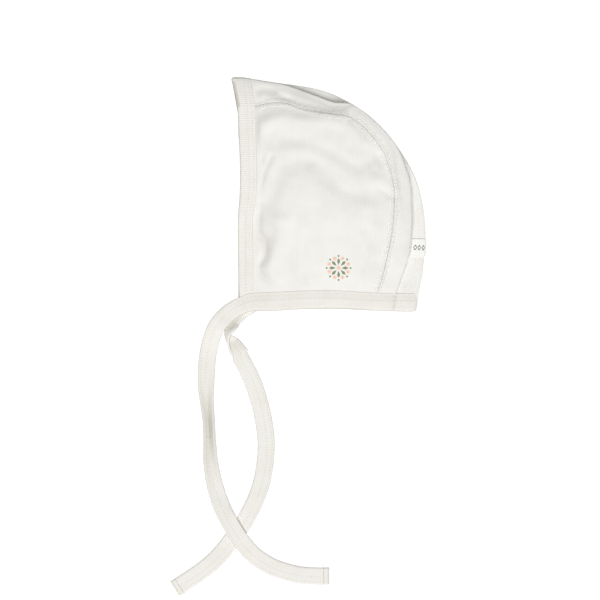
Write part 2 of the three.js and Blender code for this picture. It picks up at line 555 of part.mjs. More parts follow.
function neckBinding() {
  const lead = NECK_EDGE.slice(0, TIE_ROOTS).map((r) => ({ inner: edgePoint(r), across: across3(r) }));
  const rows = NECK_EDGE.slice(TIE_ROOTS);
  return bindingGeometry([
    ...lead,
    ...legCourse(neckEdgeUpper, rows, NECK_ACROSS_CROWN[0], 0, 12),
    ...crownCourse(LAST_SECTION, NECK_ACROSS_CROWN, 22),
    ...underCourse(neckEdgeLower, NECK_ACROSS_CROWN.at(-1), across3(rows[0]), 8),
    ...NECK_UNDER.map((r) => ({ inner: vec(...r.at, BINDING_LIFT), across: across3(r) })),
  ]);
}

function label() {
  const ts = range(3).map((s) => mix(LABEL.from, LABEL.to, s));
  const ws = range(12).map((s) => mix(LABEL.start, LABEL.end, s));
  const step = 0.02;
  const rows = ts.map((t) =>
    ws.map((w) => {
      const along = stripPoint(t + step, w).sub(stripPoint(t - step, w));
      const round = stripPoint(t, w + step).sub(stripPoint(t, w - step));
      const outward = round.cross(along).normalize();
      return stripPoint(t, w).addScaledVector(outward, -(CLOTH / 2 + CLEARANCE + LABEL_THICK / 2));
    }),
  );
  return clothGeometry(rows, LABEL_THICK);
}

// The bonnet
const jersey = { color: OFF_WHITE, roughness: 0.95, metalness: 0 };
const bias = { color: BINDING_WHITE, roughness: 0.95, metalness: 0 };
const woven = { color: LABEL_WHITE, roughness: 0.7, metalness: 0 };
const bonnet = new THREE.Group();
function add(name, geometry, look) {
  const mesh = new THREE.Mesh(geometry, new THREE.MeshStandardMaterial(look));
  mesh.name = name;
  bonnet.add(mesh);
}
add("side_panel_left", upperPanel(), jersey);
add("side_panel_right", lowerPanel(), jersey);
add("crown_strip", crownStrip(), jersey);
add("face_binding", faceBinding(), bias);
add("neck_binding", neckBinding(), bias);
add("tie_left", tieGeometry(UPPER_TIE), bias);
add("tie_right", tieGeometry(LOWER_TIE), bias);
add("back_label", label(), woven);

// The origin goes under the middle of the bonnet, measured without its ties.
const still = new THREE.Box3();
bonnet.children.filter((mesh) => !mesh.name.startsWith("tie")).forEach((mesh) => still.expandByObject(mesh, true));
const middle = still.getCenter(vec());
bonnet.children.forEach((mesh) => mesh.geometry.translate(-middle.x, -middle.y, 0));

export default bonnet;
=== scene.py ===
"""Dresses the jersey bonnet in knitted cloth, ribbed bindings, stitches and a print, on a pale table."""

import math

import bpy
import numpy as np
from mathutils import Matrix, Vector
from mathutils.bvhtree import BVHTree


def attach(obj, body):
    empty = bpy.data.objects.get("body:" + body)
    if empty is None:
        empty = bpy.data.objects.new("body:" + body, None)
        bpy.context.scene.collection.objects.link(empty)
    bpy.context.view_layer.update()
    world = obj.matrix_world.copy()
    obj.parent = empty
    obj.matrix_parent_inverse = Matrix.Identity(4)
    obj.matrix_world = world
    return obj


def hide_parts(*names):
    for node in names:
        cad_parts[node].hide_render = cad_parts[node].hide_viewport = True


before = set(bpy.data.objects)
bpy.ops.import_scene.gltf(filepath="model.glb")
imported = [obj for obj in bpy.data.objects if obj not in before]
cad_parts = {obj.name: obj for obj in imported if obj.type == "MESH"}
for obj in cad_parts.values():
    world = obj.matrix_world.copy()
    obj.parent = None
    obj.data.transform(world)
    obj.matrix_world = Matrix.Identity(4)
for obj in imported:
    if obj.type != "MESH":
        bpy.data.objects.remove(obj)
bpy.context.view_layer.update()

# Sizes in millimetres. SHIFT moves the tables' places into the frame.
SHIFT = np.array([-0.624, 2.284, 0.0])
CLOTH = 1.0
CLEARANCE = 0.3
BINDING_WALL = 1.0
SEAM_GAP = 0.08
TUCKED_IN = 5.0
STRIP_WIDTH = 56.0
TIE_WIDTH = 13.3
TIE_THICK = 2.4
TIE_ROOT_THICK = 3.4
RIB_PITCH = 1.65
RIB_HEIGHT = 0.09
# Sizes named _SHADE are painted shade, mixed into the cloth's colour: between ribs, at upright edges, in
# hollows, in cupped ties, at the twist, in the seam's band, at the binding's lip and, with the thread's pale
# brown, in pits
FACE_RIB_SHADE = 0.1
NECK_RIB_SHADE = 0.15
TIE_RIB_HEIGHT = 0.012
TIE_RIB_SHADE = 0.05
EDGE_SHADE = 0.9
STRIP_EDGE_SHADE = 0.4
HOLLOW_SHADE = 0.24
CUP_SHADE = 0.6
TWIST_SHADE = 0.4
SEAM_HALF = 2.7
SEAM_SHADE = 0.24
STITCH_PITCH = 2.2
NEEDLE_ROWS = [2.3, 5.8]
DOT_LENGTH = 0.7
DOT_RADIUS = 0.15
SEAM_PITCH = 1.9
NEEDLE_SHADE = 0.16
LIP_SHADE = 0.55
BINDING_SUNK = 0.2
PANEL_WIDTH = 105
PANEL_HEIGHT = 150
METRE = 0.001

BINDING_HALF = CLOTH / 2 + CLEARANCE + BINDING_WALL
SLOT_HALF = CLOTH / 2 + 0.08
FLOOR_LIFT = CLOTH / 2
BINDING_LIFT = BINDING_HALF
BINDING_RISE = 4.0
CREASE_TUCK_IN = 0.25
STRIP_CROWN = 0.6
UNDER_EVENING = 3
PANEL_CORNER = 6.6
FACE_SECTION_STEP = 12.0
NECK_SECTION_STEP = 14.5
PANEL_DOME = 7.5
FOLD_FADE_FACE, FOLD_FADE_NECK = 0.06, 0.1

# The crown strip from the forehead to the nape. The lifts of its seam and crease follow a fit to the photo's
# shading and were changed afterwards.
STRIP_COLUMNS = (
    "seam_x seam_y seam_lift crease_x crease_y crease_lift round tuck edge_x edge_y edge_lift"
).split()
STRIP_SECTIONS = [
    (-56.9, 67.1, 12.0, -60.1, 88.4, 6.0, 2.6, 0.9, -60.3, 88.6, 3.4),
    (-45.2, 69.8, 15.5, -50.9, 86.3, 8.8, 4.0, 2.2, -50.8, 87.0, 4.0),
    (-32.8, 69.4, 18.0, -37.6, 83.9, 10.8, 3.5, 4.0, -36.9, 84.9, 4.2),
    (-21.8, 65.5, 19.0, -25.2, 79.8, 11.8, 3.0, 5.0, -23.6, 83.1, 4.8),
    (-10.1, 62.8, 19.5, -10.9, 74.9, 12.5, 2.6, 5.4, -8.6, 80.2, 5.2),
    (2.3, 60.8, 20.5, 2.3, 70.4, 14.2, 2.4, 6.4, 5.5, 75.5, 5.2),
    (15.6, 58.9, 21.5, 17.0, 68.5, 17.5, 1.2, 6.0, 17.9, 69.0, 5.0),
    (25.7, 52.3, 22.0, 30.3, 59.9, 19.5, 1.0, 6.0, 30.7, 60.3, 5.0),
    (35.1, 42.5, 21.8, 42.8, 48.2, 19.0, 1.0, 5.5, 43.2, 48.6, 5.0),
    (42.9, 31.6, 20.8, 53.0, 35.4, 16.0, 2.2, 5.0, 53.6, 35.6, 4.8),
    (47.6, 19.5, 19.4, 59.9, 20.9, 12.0, 6.5, 5.0, 63.8, 19.6, 4.2),
    (50.7, 7.0, 18.6, 63.6, 7.2, 11.0, 8.0, 6.0, 69.4, 6.8, 3.8),
    (51.7, -7.8, 18.0, 64.7, -7.8, 11.5, 7.0, 6.5, 73.0, -8.2, 3.8),
    (50.7, -22.6, 17.5, 64.8, -22.8, 12.0, 5.0, 6.5, 75.1, -23.0, 3.8),
    (48.8, -36.7, 16.5, 63.8, -37.2, 12.5, 3.5, 6.0, 75.4, -37.4, 3.8),
    (46.0, -49.9, 15.5, 61.6, -51.0, 12.0, 3.5, 5.5, 74.3, -51.4, 3.8),
    (42.9, -63.2, 13.5, 57.4, -64.6, 10.5, 3.0, 4.0, 72.8, -65.0, 3.8),
    (38.2, -78.0, 10.5, 52.5, -79.0, 8.2, 2.5, 1.6, 70.0, -78.4, 4.6),
]

# The upper panel's edges in the bindings: x, y, lift, then the way across the binding in x, y and z
FACE_EDGE = [
    (-58.5, -77.6, 6.2, -10.9, -3.0, 0.0),
    (-58.5, -60.0, 7.2, -11.4, 0.0, 1.6),
    (-58.9, -36.7, 9.0, -11.3, 0.0, 2.4),
    (-58.5, -17.2, 11.8, -11.4, 0.0, 2.0),
    (-55.9, -1.6, 13.6, -12.9, 0.0, 0.8),
    (-55.4, 21.8, 14.0, -13.2, 0.0, -0.4),
    (-56.2, 45.2, 13.2, -13.4, 0.0, -1.0),
]
FACE_CROWN = [(-13.6, 0.0, -1.0), (-15.4, 0.0, 0.0), (-14.2, 0.0, 0.0)]
FACE_UNDER = (-11.4, 0.0, 0.0)
FACE_CORNER = (-11.4, -5.6, 0.0)
NECK_EDGE = [
    (-67.5, -80.6, 6.4, 4.7, -12.2, 0.0),
    (-63.2, -79.0, 6.3, 3.2, -13.5, 0.0),
    (-58.5, -78.0, 6.2, 2.4, -14.3, 0.0),
    (-37.4, -77.1, 8.4, 0.4, -14.6, -0.6),
    (-17.9, -76.2, 10.6, 0.0, -14.2, -1.0),
    (9.4, -76.2, 12.4, 0.0, -13.8, -1.0),
    (25.0, -77.2, 12.4, 0.0, -13.5, -1.0),
]
NECK_CROWN = [(-0.4, -13.9, -1.0), (-3.0, -14.2, 0.0), (-0.4, -14.0, 0.0)]
TIE_ROOTS = 2
NECK_UNDER = [(-62.5, -80.4, BINDING_LIFT, 4.0, -13.4, 0.0), (-66.4, -83.0, BINDING_LIFT, 6.2, -12.0, 0.0)]

# The panel's main folds: height, width and path. These and the small folds are rounded from a fit to the
# photo's shading, and partly changed afterwards.
PANEL_FOLDS = [
    (2.0, 6, [(-58, 40), (-50, 52), (-38, 57), (-22, 56), (-4, 56), (14, 52), (28, 40)]),
    (-1.6, 6, [(-36, 40), (-15, 39), (-3, 34), (7, 29), (15, 23), (20, 20)]),
    (-2.0, 8, [(-54, -14), (-45, -4), (-40, 10), (-32, 20), (-20, 25)]),
    (-2.2, 7.5, [(-10, 22), (-3, 16), (5, 7), (12, 1), (20, -1), (31, -2), (44, -4)]),
    (-2.0, 6, [(34, 22), (40, 25), (37, 18)]),
    (-2.4, 4, [(-56, -19), (-54, -31), (-49, -39), (-49, -50), (-54, -58), (-49, -66), (-40, -76)]),
    (2.6, 7, [(-36, -23), (-38, -40), (-45, -57), (-40, -73)]),
    (-1.6, 8, [(41, -17), (40, -37), (38, -54)]),
]
# Small folds over panel and strip alike
FINE_FOLDS = [
    (-1.0, 2.5, [(-44, 28), (-52, 8), (-55, -8)]),
    (-1.2, 5, [(-52, 25), (-57, 4)]),
    (0.8, 5, [(-54, 53), (-37, 59)]),
    (-0.6, 4, [(30, -29), (34, -39)]),
    (0.6, 2.4, [(26, -62), (24, -78)]),
    (-0.6, 2.2, [(-20, -62), (-16, -78)]),
    (-0.5, 2.4, [(39, 3), (51, -4)]),
    (-1.3, 3.5, [(-60, 78), (-50, 80), (-41, 78), (-31, 73)]),
    (-1.0, 3.0, [(-36, 74), (-28, 72), (-14, 68), (0, 65), (14, 65)]),
    (0.6, 2.3, [(21, 67), (15, 64), (13, 57)]),
    (-0.5, 4.3, [(35, 31), (46, 16)]),
    (-0.4, 2.3, [(-60, 69), (-51, 70), (-41, 69)]),
]
PUCKER_PITCH = 7.5

# The ties along the lines where they bend: x, y, gap beneath, roll and gutter in degrees, and how far the
# line lies to the right of the tie's middle. A short row's last values are those of the row before.
UPPER_TIE = [
    (-65.5, -86.9, 4.7, 0, 0, 0),
    (-70.2, -88.9, 4.9),
    (-75.7, -92.2, 5.6),
    (-80.4, -96.2, 6.0),
    (-84.4, -100.6, 6.5),
    (-88.1, -106.5, 5.5),
    (-90.6, -112.9, 3.0),
    (-92.5, -120.4, 0.8),
    (-93.9, -127.8, 0.2),
    (-94.9, -140.9, 0, 0, 4),
    (-95.0, -151.2, 0, 2, 20),
    (-94.4, -161.1, 0, 4, 38),
    (-93.3, -170.8, 0, 6, 45),
    (-92.4, -180.2, 0, 6, 49),
    (-92.1, -189.5, 0, 6, 48),
    (-91.8, -198.9, 0, 4, 43),
    (-91.5, -208.3, 0, 2, 35),
    (-90.3, -217.6, 0, 0, 28),
    (-88.4, -227.0, 0, 0, 21),
    (-85.7, -236.3, 0.5, 0, 8),
    (-82.2, -245.7, 1.9, 0, 0),
    (-77.9, -254.3, 3.0),
    (-72.8, -263.3, 3.1),
    (-67.4, -271.4, 3.0),
    (-61.5, -278.6, 2.0),
    (-54.9, -284.6, 0.5),
    (-43.4, -291.5, 0),
    (-31.4, -295.7),
    (-21.0, -297.9),
    (-10.0, -298.7),
    (1.0, -298.7),
]
LOWER_TIE = [
    (-64.1, -89.4, 0.1, 0, 0, 0),
    (-67.2, -91.4, 0, 4),
    (-70.6, -94.2, 0, 12, 0, -0.6),
    (-75.8, -98.4, 0, 26, -4, -2.2),
    (-78.9, -103.8, 0, 56, -20, -3.4),
    (-80.1, -110.6, 0, 95, -55, -1.0),
    (-77.9, -117.4, 0, 116, -58, 3.4),
    (-75.4, -123.4, 0, 145, -35, 4.8),
    (-72.4, -129.4, 0, 178, -2, 4.6),
    (-66.9, -135.9, 0, 180, 0, 2.6),
    (-62.1, -142.0, 0, 180, 0, 1.0),
    (-58.3, -148.2, 0, 180, 0, 0),
    (-55.6, -156.0),
    (-52.8, -165.4),
    (-50.7, -174.7),
    (-49.0, -184.9),
    (-48.2, -195.0),
    (-48.6, -205.9),
    (-49.9, -216.8),
    (-52.1, -227.0),
    (-55.3, -236.3),
    (-59.2, -245.1),
    (-64.0, -254.0),
    (-69.6, -262.9),
    (-75.8, -271.4),
    (-82.5, -279.9),
    (-90.1, -287.8),
    (-99.0, -295.0),
    (-108.2, -301.3),
    (-119.4, -308.6),
]

LABEL_FROM, LABEL_TO = 13.9, 14.87
LABEL_START, LABEL_END = 4.5, 6.45
LABEL_THICK = 0.45


# Curves and blends
def mix(a, b, t):
    return a + (b - a) * t


def smooth(t):
    s = np.clip(t, 0, 1)
    return s * s * (3 - 2 * s)


def rounded(t, least=0):
    """A quarter circle's rise from 0 to 1."""
    return np.sqrt(np.clip(1 - (1 - np.clip(t, 0, 1)) ** 2, least, 1))


def unit(v):
    return v / np.maximum(np.linalg.norm(v, axis=-1, keepdims=True), 1e-9)


def spline(points, t):
    """A centripetal curve through points at the shares t of their count."""
    points = np.asarray(points, float)
    count = points.shape[-2]
    first = 2 * points[..., :1, :] - points[..., 1:2, :]
    last = 2 * points[..., -1:, :] - points[..., -2:-1, :]
    all_points = np.concatenate([first, points, last], axis=-2)
    s = np.clip(np.asarray(t, float), 0, 1) * (count - 1)
    i = np.minimum(s.astype(int), count - 2)
    w = (s - i)[..., None]
    i = np.broadcast_to(i, points.shape[:-2] + i.shape[-1:])
    p0, p1, p2, p3 = (np.take_along_axis(all_points, (i + k)[..., None], axis=-2) for k in range(4))
    d0, d1, d2 = (
        np.sqrt(np.linalg.norm(b - a, axis=-1, keepdims=True)) for a, b in ((p0, p1), (p1, p2), (p2, p3))
    )
    d1 = np.where(d1 < 1e-4, 1, d1)
    d0 = np.where(d0 < 1e-4, d1, d0)
    d2 = np.where(d2 < 1e-4, d1, d2)
    m1 = ((p1 - p0) / d0 - (p2 - p0) / (d0 + d1) + (p2 - p1) / d1) * d1
    m2 = ((p2 - p1) / d1 - (p3 - p1) / (d1 + d2) + (p3 - p2) / d2) * d1
    a = 2 * p1 - 2 * p2 + m1 + m2
    b = -3 * p1 + 3 * p2 - 2 * m1 - m2
    return ((a * w + b) * w + m1) * w + p1


def lengths(path):
    steps = np.linalg.norm(np.diff(path, axis=0), axis=1)
    return np.concatenate([[0], np.cumsum(steps)])


def even(path, step, *more):
    """path, and what goes with it, taken at even steps along it."""
    s = lengths(path)
    at = np.linspace(0, s[-1], int(round(s[-1] / step)) + 1)
    return [np.stack([np.interp(at, s, column) for column in np.asarray(p).T], 1) for p in (path, *more)]


def blurred(values, steps):
    """values evened out along their first axis, with their ends kept."""
    if steps < 1:
        return values
    offsets = np.arange(-2 * steps, 2 * steps + 1)
    weights = np.exp(-0.5 * (offsets / steps) ** 2)
    weights /= weights.sum()
    count = len(values)
    out = np.zeros_like(values)
    for o, w in zip(offsets, weights):
        reach = np.minimum(np.arange(count), count - 1 - np.arange(count))
        out += w * values[np.arange(count) + np.sign(o) * np.minimum(abs(o), reach)]
    return out


def height_of(folds, x, y):
    total = np.zeros_like(x)
    for height, width, path in folds:
        path = spline(np.array(path, float), np.linspace(0, 1, 6 * len(path)))
        nearest = np.full_like(x, 1e9)
        for (ax, ay), (bx, by) in zip(path, path[1:]):
            dx, dy = bx - ax, by - ay
            t = np.clip(((x - ax) * dx + (y - ay) * dy) / (dx * dx + dy * dy), 0, 1)
            nearest = np.minimum(nearest, np.hypot(x - ax - t * dx, y - ay - t * dy))
        total += height * np.exp(-((nearest / width) ** 2))
    return total


# The bonnet's surface, as the solids have it
def resting_lift(from_face, from_neck):
    near = np.exp(-((np.minimum(from_face, from_neck) / BINDING_RISE) ** 2))
    return mix(FLOOR_LIFT, BINDING_LIFT, near)


rows = np.array(STRIP_SECTIONS)
column = {name: rows[:, i] for i, name in enumerate(STRIP_COLUMNS)}
LAST = len(rows) - 1


def shown_profile(i):
    row = {name: values[i] for name, values in column.items()}
    seam = np.array([row["seam_x"], row["seam_y"]])
    outward = np.array([row["edge_x"], row["edge_y"]]) - seam
    reach = np.linalg.norm(outward)
    outward /= reach
    crease = (np.array([row["crease_x"], row["crease_y"]]) - seam) @ outward
    behind = row["crease_lift"] - row["tuck"]
    shoulder = (crease - row["round"], row["crease_lift"] + 0.6 * row["round"])
    turn = min(row["edge_lift"] - FLOOR_LIFT, 2.8)
    profile = [
        (0, row["seam_lift"]),
        (shoulder[0] / 2, mix(row["seam_lift"], shoulder[1], 0.5) + STRIP_CROWN),
        shoulder,
        (crease, row["crease_lift"]),
        (crease - CREASE_TUCK_IN * row["tuck"], behind),
        (mix(crease, reach, 0.5), mix(behind, row["edge_lift"], 0.45)),
        (reach, row["edge_lift"]),
        (reach - turn, FLOOR_LIFT + 0.3),
    ]
    return seam, outward, profile, lengths(np.array(profile))[-1]


def whole_sections():
    shown = [shown_profile(i) for i in range(LAST + 1)]
    sections = []
    for i, (seam, outward, profile, _) in enumerate(shown):
        nearby = [s[3] for s in shown[max(i - UNDER_EVENING, 0) : i + UNDER_EVENING + 1]]
        under = STRIP_WIDTH - sum(nearby) / len(nearby)
        turned = profile[-1][0]
        whole = profile + [(turned - under / 2, FLOOR_LIFT), (turned - under, FLOOR_LIFT)]
        sections.append([(*(seam + outward * r), z) for r, z in whole])
    return np.array(sections)


SECTIONS = whole_sections()
STRANDS = SECTIONS.transpose(1, 0, 2)
PROFILE_LAST = SECTIONS.shape[1] - 1


def strip_lift(t):
    return resting_lift(t * FACE_SECTION_STEP, (LAST - t) * NECK_SECTION_STEP)


def strip_profiles(t):
    return spline(STRANDS, t / LAST).transpose(1, 0, 2)


def strip_grid(t, w):
    p = spline(strip_profiles(t), w / PROFILE_LAST)
    low = np.maximum(p[..., 2], strip_lift(t)[:, None])
    p[..., 2] = np.where(w > 5.5, low, p[..., 2])
    return p


def strip_at(t, w):
    return spline(strip_profiles(t), (w / PROFILE_LAST)[:, None])[:, 0]


def upper_seam(t):
    return spline(STRANDS[0], t / LAST)


def lower_seam(t):
    p = spline(STRANDS[-1], t / LAST)
    p[:, 2] = strip_lift(t)
    return p


def one(curve, t):
    return curve(np.array([float(t)]))[0]


face_rows, neck_rows = np.array(FACE_EDGE), np.array(NECK_EDGE)
inner_neck = neck_rows[TIE_ROOTS:]


def on_table(points):
    points = points.copy()
    points[:, 2] = BINDING_LIFT
    return points


FACE_UPPER = np.vstack([face_rows[:, :3], one(upper_seam, 0)])
NECK_UPPER = np.vstack([inner_neck[:, :3], one(upper_seam, LAST)])
FACE_LOWER = np.vstack([on_table(face_rows[:, :3]), one(lower_seam, 0)])
NECK_LOWER = np.vstack([on_table(inner_neck[:, :3]), one(lower_seam, LAST)])
FACE_SPREAD = np.vstack([face_rows[:, 3:], FACE_CROWN[0]])
NECK_SPREAD = np.vstack([inner_neck[:, 3:], NECK_CROWN[0]])


def patch(left, right, bottom, top):
    """A four-sided patch: four edges as functions of a share, made into a function of two lists of shares."""

    def at(u, v):
        sides = [f(s) for f, s in ((left, v), (right, v), (bottom, u), (top, u))]
        ends = [f(np.array([0.0, 1.0])) for f in (bottom, top)]
        a, b = u[None, :, None], v[:, None, None]
        p = sides[2][None] * (1 - b) + sides[3][None] * b
        p = p + sides[0][:, None] * (1 - a) + sides[1][:, None] * a
        p = p - ends[0][0] * (1 - a) * (1 - b) - ends[0][1] * a * (1 - b)
        return p - ends[1][0] * (1 - a) * b - ends[1][1] * a * b

    return at


upper_patch = patch(
    lambda v: spline(FACE_UPPER, v),
    lambda v: upper_seam(mix(LAST, PANEL_CORNER, v)),
    lambda u: spline(NECK_UPPER, u),
    lambda u: upper_seam(mix(0, PANEL_CORNER, u)),
)
lower_patch = patch(
    lambda v: spline(FACE_LOWER, v),
    lambda v: lower_seam(mix(LAST, PANEL_CORNER, v)),
    lambda u: spline(NECK_LOWER, u),
    lambda u: lower_seam(mix(0, PANEL_CORNER, u)),
)


def ripple(x, y):
    """A slight unevenness of soft cloth."""
    waves = [(0.31, 0.17, 0.4), (-0.13, 0.29, 2.1), (0.47, -0.23, 4.4), (0.21, 0.53, 1.3), (-0.62, 0.11, 5.0)]
    return sum(0.05 * np.sin(a * x + b * y + c) for a, b, c in waves)


def seam_relief(distance, along):
    """The flat seam: a thicker band, a ditch in its middle, and slight puckers beside it."""
    band = 0.16 * np.exp(-((distance / SEAM_HALF) ** 6))
    ditch = 0.05 * np.exp(-((distance / 0.5) ** 2))
    pucker = 0.08 * np.exp(-(((distance - 4.5) / 2.5) ** 2)) * np.sin(2 * math.pi * along / PUCKER_PITCH)
    return band - ditch + pucker


def seam_shade(distance):
    """Painted shade on the cloth in the flat seam's band, where it shows between the strands."""
    return SEAM_SHADE * smooth((SEAM_HALF + 0.3 - distance) / 0.6)


def hollow_shade(grid, steps):
    """The warm shade in the hollows between folds, from how far the cloth lies below the cloth around it."""
    around = blurred(blurred(grid[..., 2], steps).T, steps).T
    return HOLLOW_SHADE * smooth((around - grid[..., 2]) / 1.6)


def from_seam(a, b):
    """How far a place of the upper panel is from the seam, by its shares of the panel."""
    return np.minimum((1 - a) * PANEL_WIDTH, (1 - b) * PANEL_HEIGHT)


def upper_panel(u, v):
    p = upper_patch(u, v)
    a, b = u[None, :], v[:, None]
    x, y = p[..., 0], p[..., 1]
    fade = smooth(a / FOLD_FADE_FACE) * smooth(b / FOLD_FADE_NECK)
    p[..., 2] += PANEL_DOME * np.sin(math.pi * a) * np.sin(math.pi * b) + fade * height_of(PANEL_FOLDS, x, y)
    from_bindings = smooth(a / 0.05) * smooth(b / 0.04)
    p[..., 2] += from_bindings * (height_of(FINE_FOLDS, x, y) + ripple(x, y))
    p[..., 2] += from_bindings * seam_relief(from_seam(a, b), x - y)
    return p


def lower_panel(u, v):
    p = lower_patch(u, v)
    from_face = u[None, :] * PANEL_CORNER * FACE_SECTION_STEP
    from_neck = v[:, None] * (LAST - PANEL_CORNER) * NECK_SECTION_STEP
    p[..., 2] = resting_lift(from_face, from_neck)
    return p


def crown_cloth(t, w):
    p = strip_grid(t, w)
    x, y = p[..., 0], p[..., 1]
    from_bindings = smooth(t / 0.5) * smooth((LAST - t) / 0.4)
    shown = smooth((3.2 - w) / 1.4)[None, :] * from_bindings[:, None]
    to_seam = np.linalg.norm(p - p[:, :1], axis=-1)
    p[..., 2] += shown * (height_of(FINE_FOLDS, x, y) + ripple(x, y) + seam_relief(to_seam, x - y))
    return p


# Meshes
def cloth_uv(first, second):
    """The material's coordinates in metres, from two lengths on the cloth in millimetres."""
    return np.stack(np.broadcast_arrays(first, second), -1) * METRE


def place(points):
    return (np.asarray(points) + SHIFT) * METRE


def edge_shade(mesh, most):
    """How much painted shade darkens folded edges, whose faces stand upright."""
    normals = np.zeros(len(mesh.vertices) * 3)
    mesh.vertex_normals.foreach_get("vector", normals)
    upright = 1 - np.abs(normals[2::3])
    return most * smooth((upright - 0.2) / 0.7)


def piece(name, points, faces, material, slot, uv=None, flat_faces=0, shade=None, edge=EDGE_SHADE):
    mesh = bpy.data.meshes.new(name)
    mesh.from_pydata(place(points).tolist(), [], faces)
    smooth_faces = np.ones(len(mesh.polygons), bool)
    if flat_faces:
        smooth_faces[-flat_faces:] = False
    mesh.polygons.foreach_set("use_smooth", smooth_faces)
    if uv is not None:
        corners = np.zeros(len(mesh.loops), int)
        mesh.loops.foreach_get("vertex_index", corners)
        mesh.uv_layers.new(name="cloth").uv.foreach_set("vector", uv[corners].astype(np.float32).ravel())
    mesh.materials.append(material)
    mesh.update()
    if shade is not None:
        shade = np.clip(shade.ravel() + edge_shade(mesh, edge), 0, 1).astype(np.float32)
        mesh.attributes.new("shade", "FLOAT", "POINT").data.foreach_set("value", shade)
    made = bpy.data.objects.new(name, mesh)
    bpy.context.collection.objects.link(made)
    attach(made, "root")
    return made


def outward(points, quads):
    """quads turned to face outward."""
    a, b, c, d = (points[quads[:, k]] for k in range(4))
    volume = np.einsum("ij,ij->i", a, np.cross(b, c) + np.cross(c, d)).sum()
    return quads if volume > 0 else quads[:, ::-1]


def shell(grid, thickness, uv):
    """A grid made into a closed wall: its points, quads, how many of the last quads are its rim, and uv."""
    rows_, columns_ = grid.shape[:2]

    def beside(count, step):
        return np.clip(np.arange(count) + step, 0, count - 1)

    along = grid[beside(rows_, 1)] - grid[beside(rows_, -1)]
    over = grid[:, beside(columns_, 1)] - grid[:, beside(columns_, -1)]
    normal = unit(np.cross(along, over)) * thickness / 2
    points = np.concatenate([(grid + normal).reshape(-1, 3), (grid - normal).reshape(-1, 3)])
    index = np.arange(rows_ * columns_).reshape(rows_, columns_)
    a, b, c, d = (x.ravel() for x in (index[:-1, :-1], index[1:, :-1], index[1:, 1:], index[:-1, 1:]))
    under = rows_ * columns_
    top = np.stack([a, b, c, d], 1)
    bottom = np.stack([a, d, c, b], 1) + under
    rim = np.concatenate([index[:-1, 0], index[-1, :-1], index[:0:-1, -1], index[0, :0:-1]])
    after = np.roll(rim, -1)
    sides = np.stack([after, rim, rim + under, after + under], 1)
    quads = outward(points, np.concatenate([top, bottom, sides]))
    return points, quads.tolist(), len(rim), np.concatenate([uv.reshape(-1, 2)] * 2)


def swept(rings, uv):
    """Closed rings joined into a tube with flat ends."""
    count, around = rings.shape[:2]
    points = rings.reshape(-1, 3)
    index = np.arange(count * around).reshape(count, around)
    after = np.roll(index, -1, axis=1)
    quads = np.stack([index[:-1], after[:-1], after[1:], index[1:]], -1).reshape(-1, 4)
    turned = outward(points, quads)
    start, end = index[0].tolist(), index[-1].tolist()
    flipped = turned is not quads
    caps = [start if flipped else start[::-1], end[::-1] if flipped else end]
    return points, turned.tolist() + caps, uv.reshape(-1, 2)


def tubes(paths, radius, end_scale, sides=6):
    """Many short threads of one count of points as one mesh."""
    paths = np.asarray(paths, float)
    many, count = paths.shape[:2]
    tangent = unit(np.gradient(paths, axis=1))
    side = np.cross(tangent, np.array([0.0, 0.0, 1.0]))
    weak = np.linalg.norm(side, axis=-1, keepdims=True) < 1e-3
    side = unit(np.where(weak, np.array([1.0, 0.0, 0.0]), side))
    up = np.cross(side, tangent)
    angle = np.linspace(0, 2 * math.pi, sides, endpoint=False)[None, None, :, None]
    thick = np.full(count, 1.0)
    thick[[0, -1]] = end_scale
    r = (radius * thick)[None, :, None, None]
    ring = side[:, :, None] * np.cos(angle) + up[:, :, None] * np.sin(angle)
    points = (paths[:, :, None] + ring * r).reshape(-1, 3)
    index = np.arange(many * count * sides).reshape(many, count, sides)
    after = np.roll(index, -1, axis=2)
    quads = np.stack([index[:, :-1], after[:, :-1], after[:, 1:], index[:, 1:]], -1).reshape(-1, 4)
    caps = np.concatenate([index[:, 0, ::-1], index[:, -1]])
    return points, quads.tolist() + caps.tolist()


# Bindings
def needle_pits(across, along, rows_=NEEDLE_ROWS, reach=0.5):
    """How deep the needle thread pulls the cloth in, from 0 to 1."""
    pull_and_shade = 0.15 + 0.85 * np.cos(math.pi * along / STITCH_PITCH) ** 6
    return sum(np.exp(-(((across - row) / reach) ** 2)) for row in rows_) * pull_and_shade


def between_ribs(along):
    """How far a place is from the tops of the ribs beside it, from 0 to 1."""
    return (0.5 - 0.5 * np.cos(2 * math.pi * along / RIB_PITCH))[:, None]


def binding_top(across, width, along, sunk=BINDING_SUNK):
    """Height of a binding's outer face over its middle, at distances from its inner edge."""
    roll = np.sqrt(np.clip(1 - np.clip((across - (width - 2.2)) / 2.2, 0, 1) ** 2, 0, 1))
    lip = rounded(across / 0.5)
    rise = mix(0.95, BINDING_HALF, smooth((across - 0.3) / 5.5))
    height = mix(SLOT_HALF + 0.08, rise, lip) * roll
    between = smooth((across - NEEDLE_ROWS[0] + 0.4) / 0.9) * smooth((NEEDLE_ROWS[1] + 0.4 - across) / 0.9)
    height = height - sunk * between - 0.2 * needle_pits(across, along)
    inside = smooth(across / 0.8) * smooth((width - across) / 1.2 + 0.4) * (1 - 0.45 * between)
    return height + RIB_HEIGHT * inside * np.cos(2 * math.pi * along / RIB_PITCH)


def dense_course(parts):
    return np.vstack([p for p, _ in parts]), np.vstack([a for _, a in parts])


def leg(edge, spread, start, count):
    s = np.linspace(start, 1, count)
    return spline(edge, s), spline(spread, s)


def over_crown(t, crown, count):
    w = np.linspace(0, 1, count)[1:-1]
    grid = strip_grid(np.array([float(t)]), w * PROFILE_LAST)
    return grid[0], spline(np.array(crown), w)


def under_leg(edge, crown_last, across, start, count, corner=None):
    s = np.linspace(0, 1 - start, count)[:, None]
    spread = mix(np.array(crown_last), np.array(across), smooth(s * 2))
    if corner is not None:
        spread = mix(spread, np.array(corner), smooth((s - 0.9) / 0.1))
    return spline(edge, 1 - s[:, 0]), spread


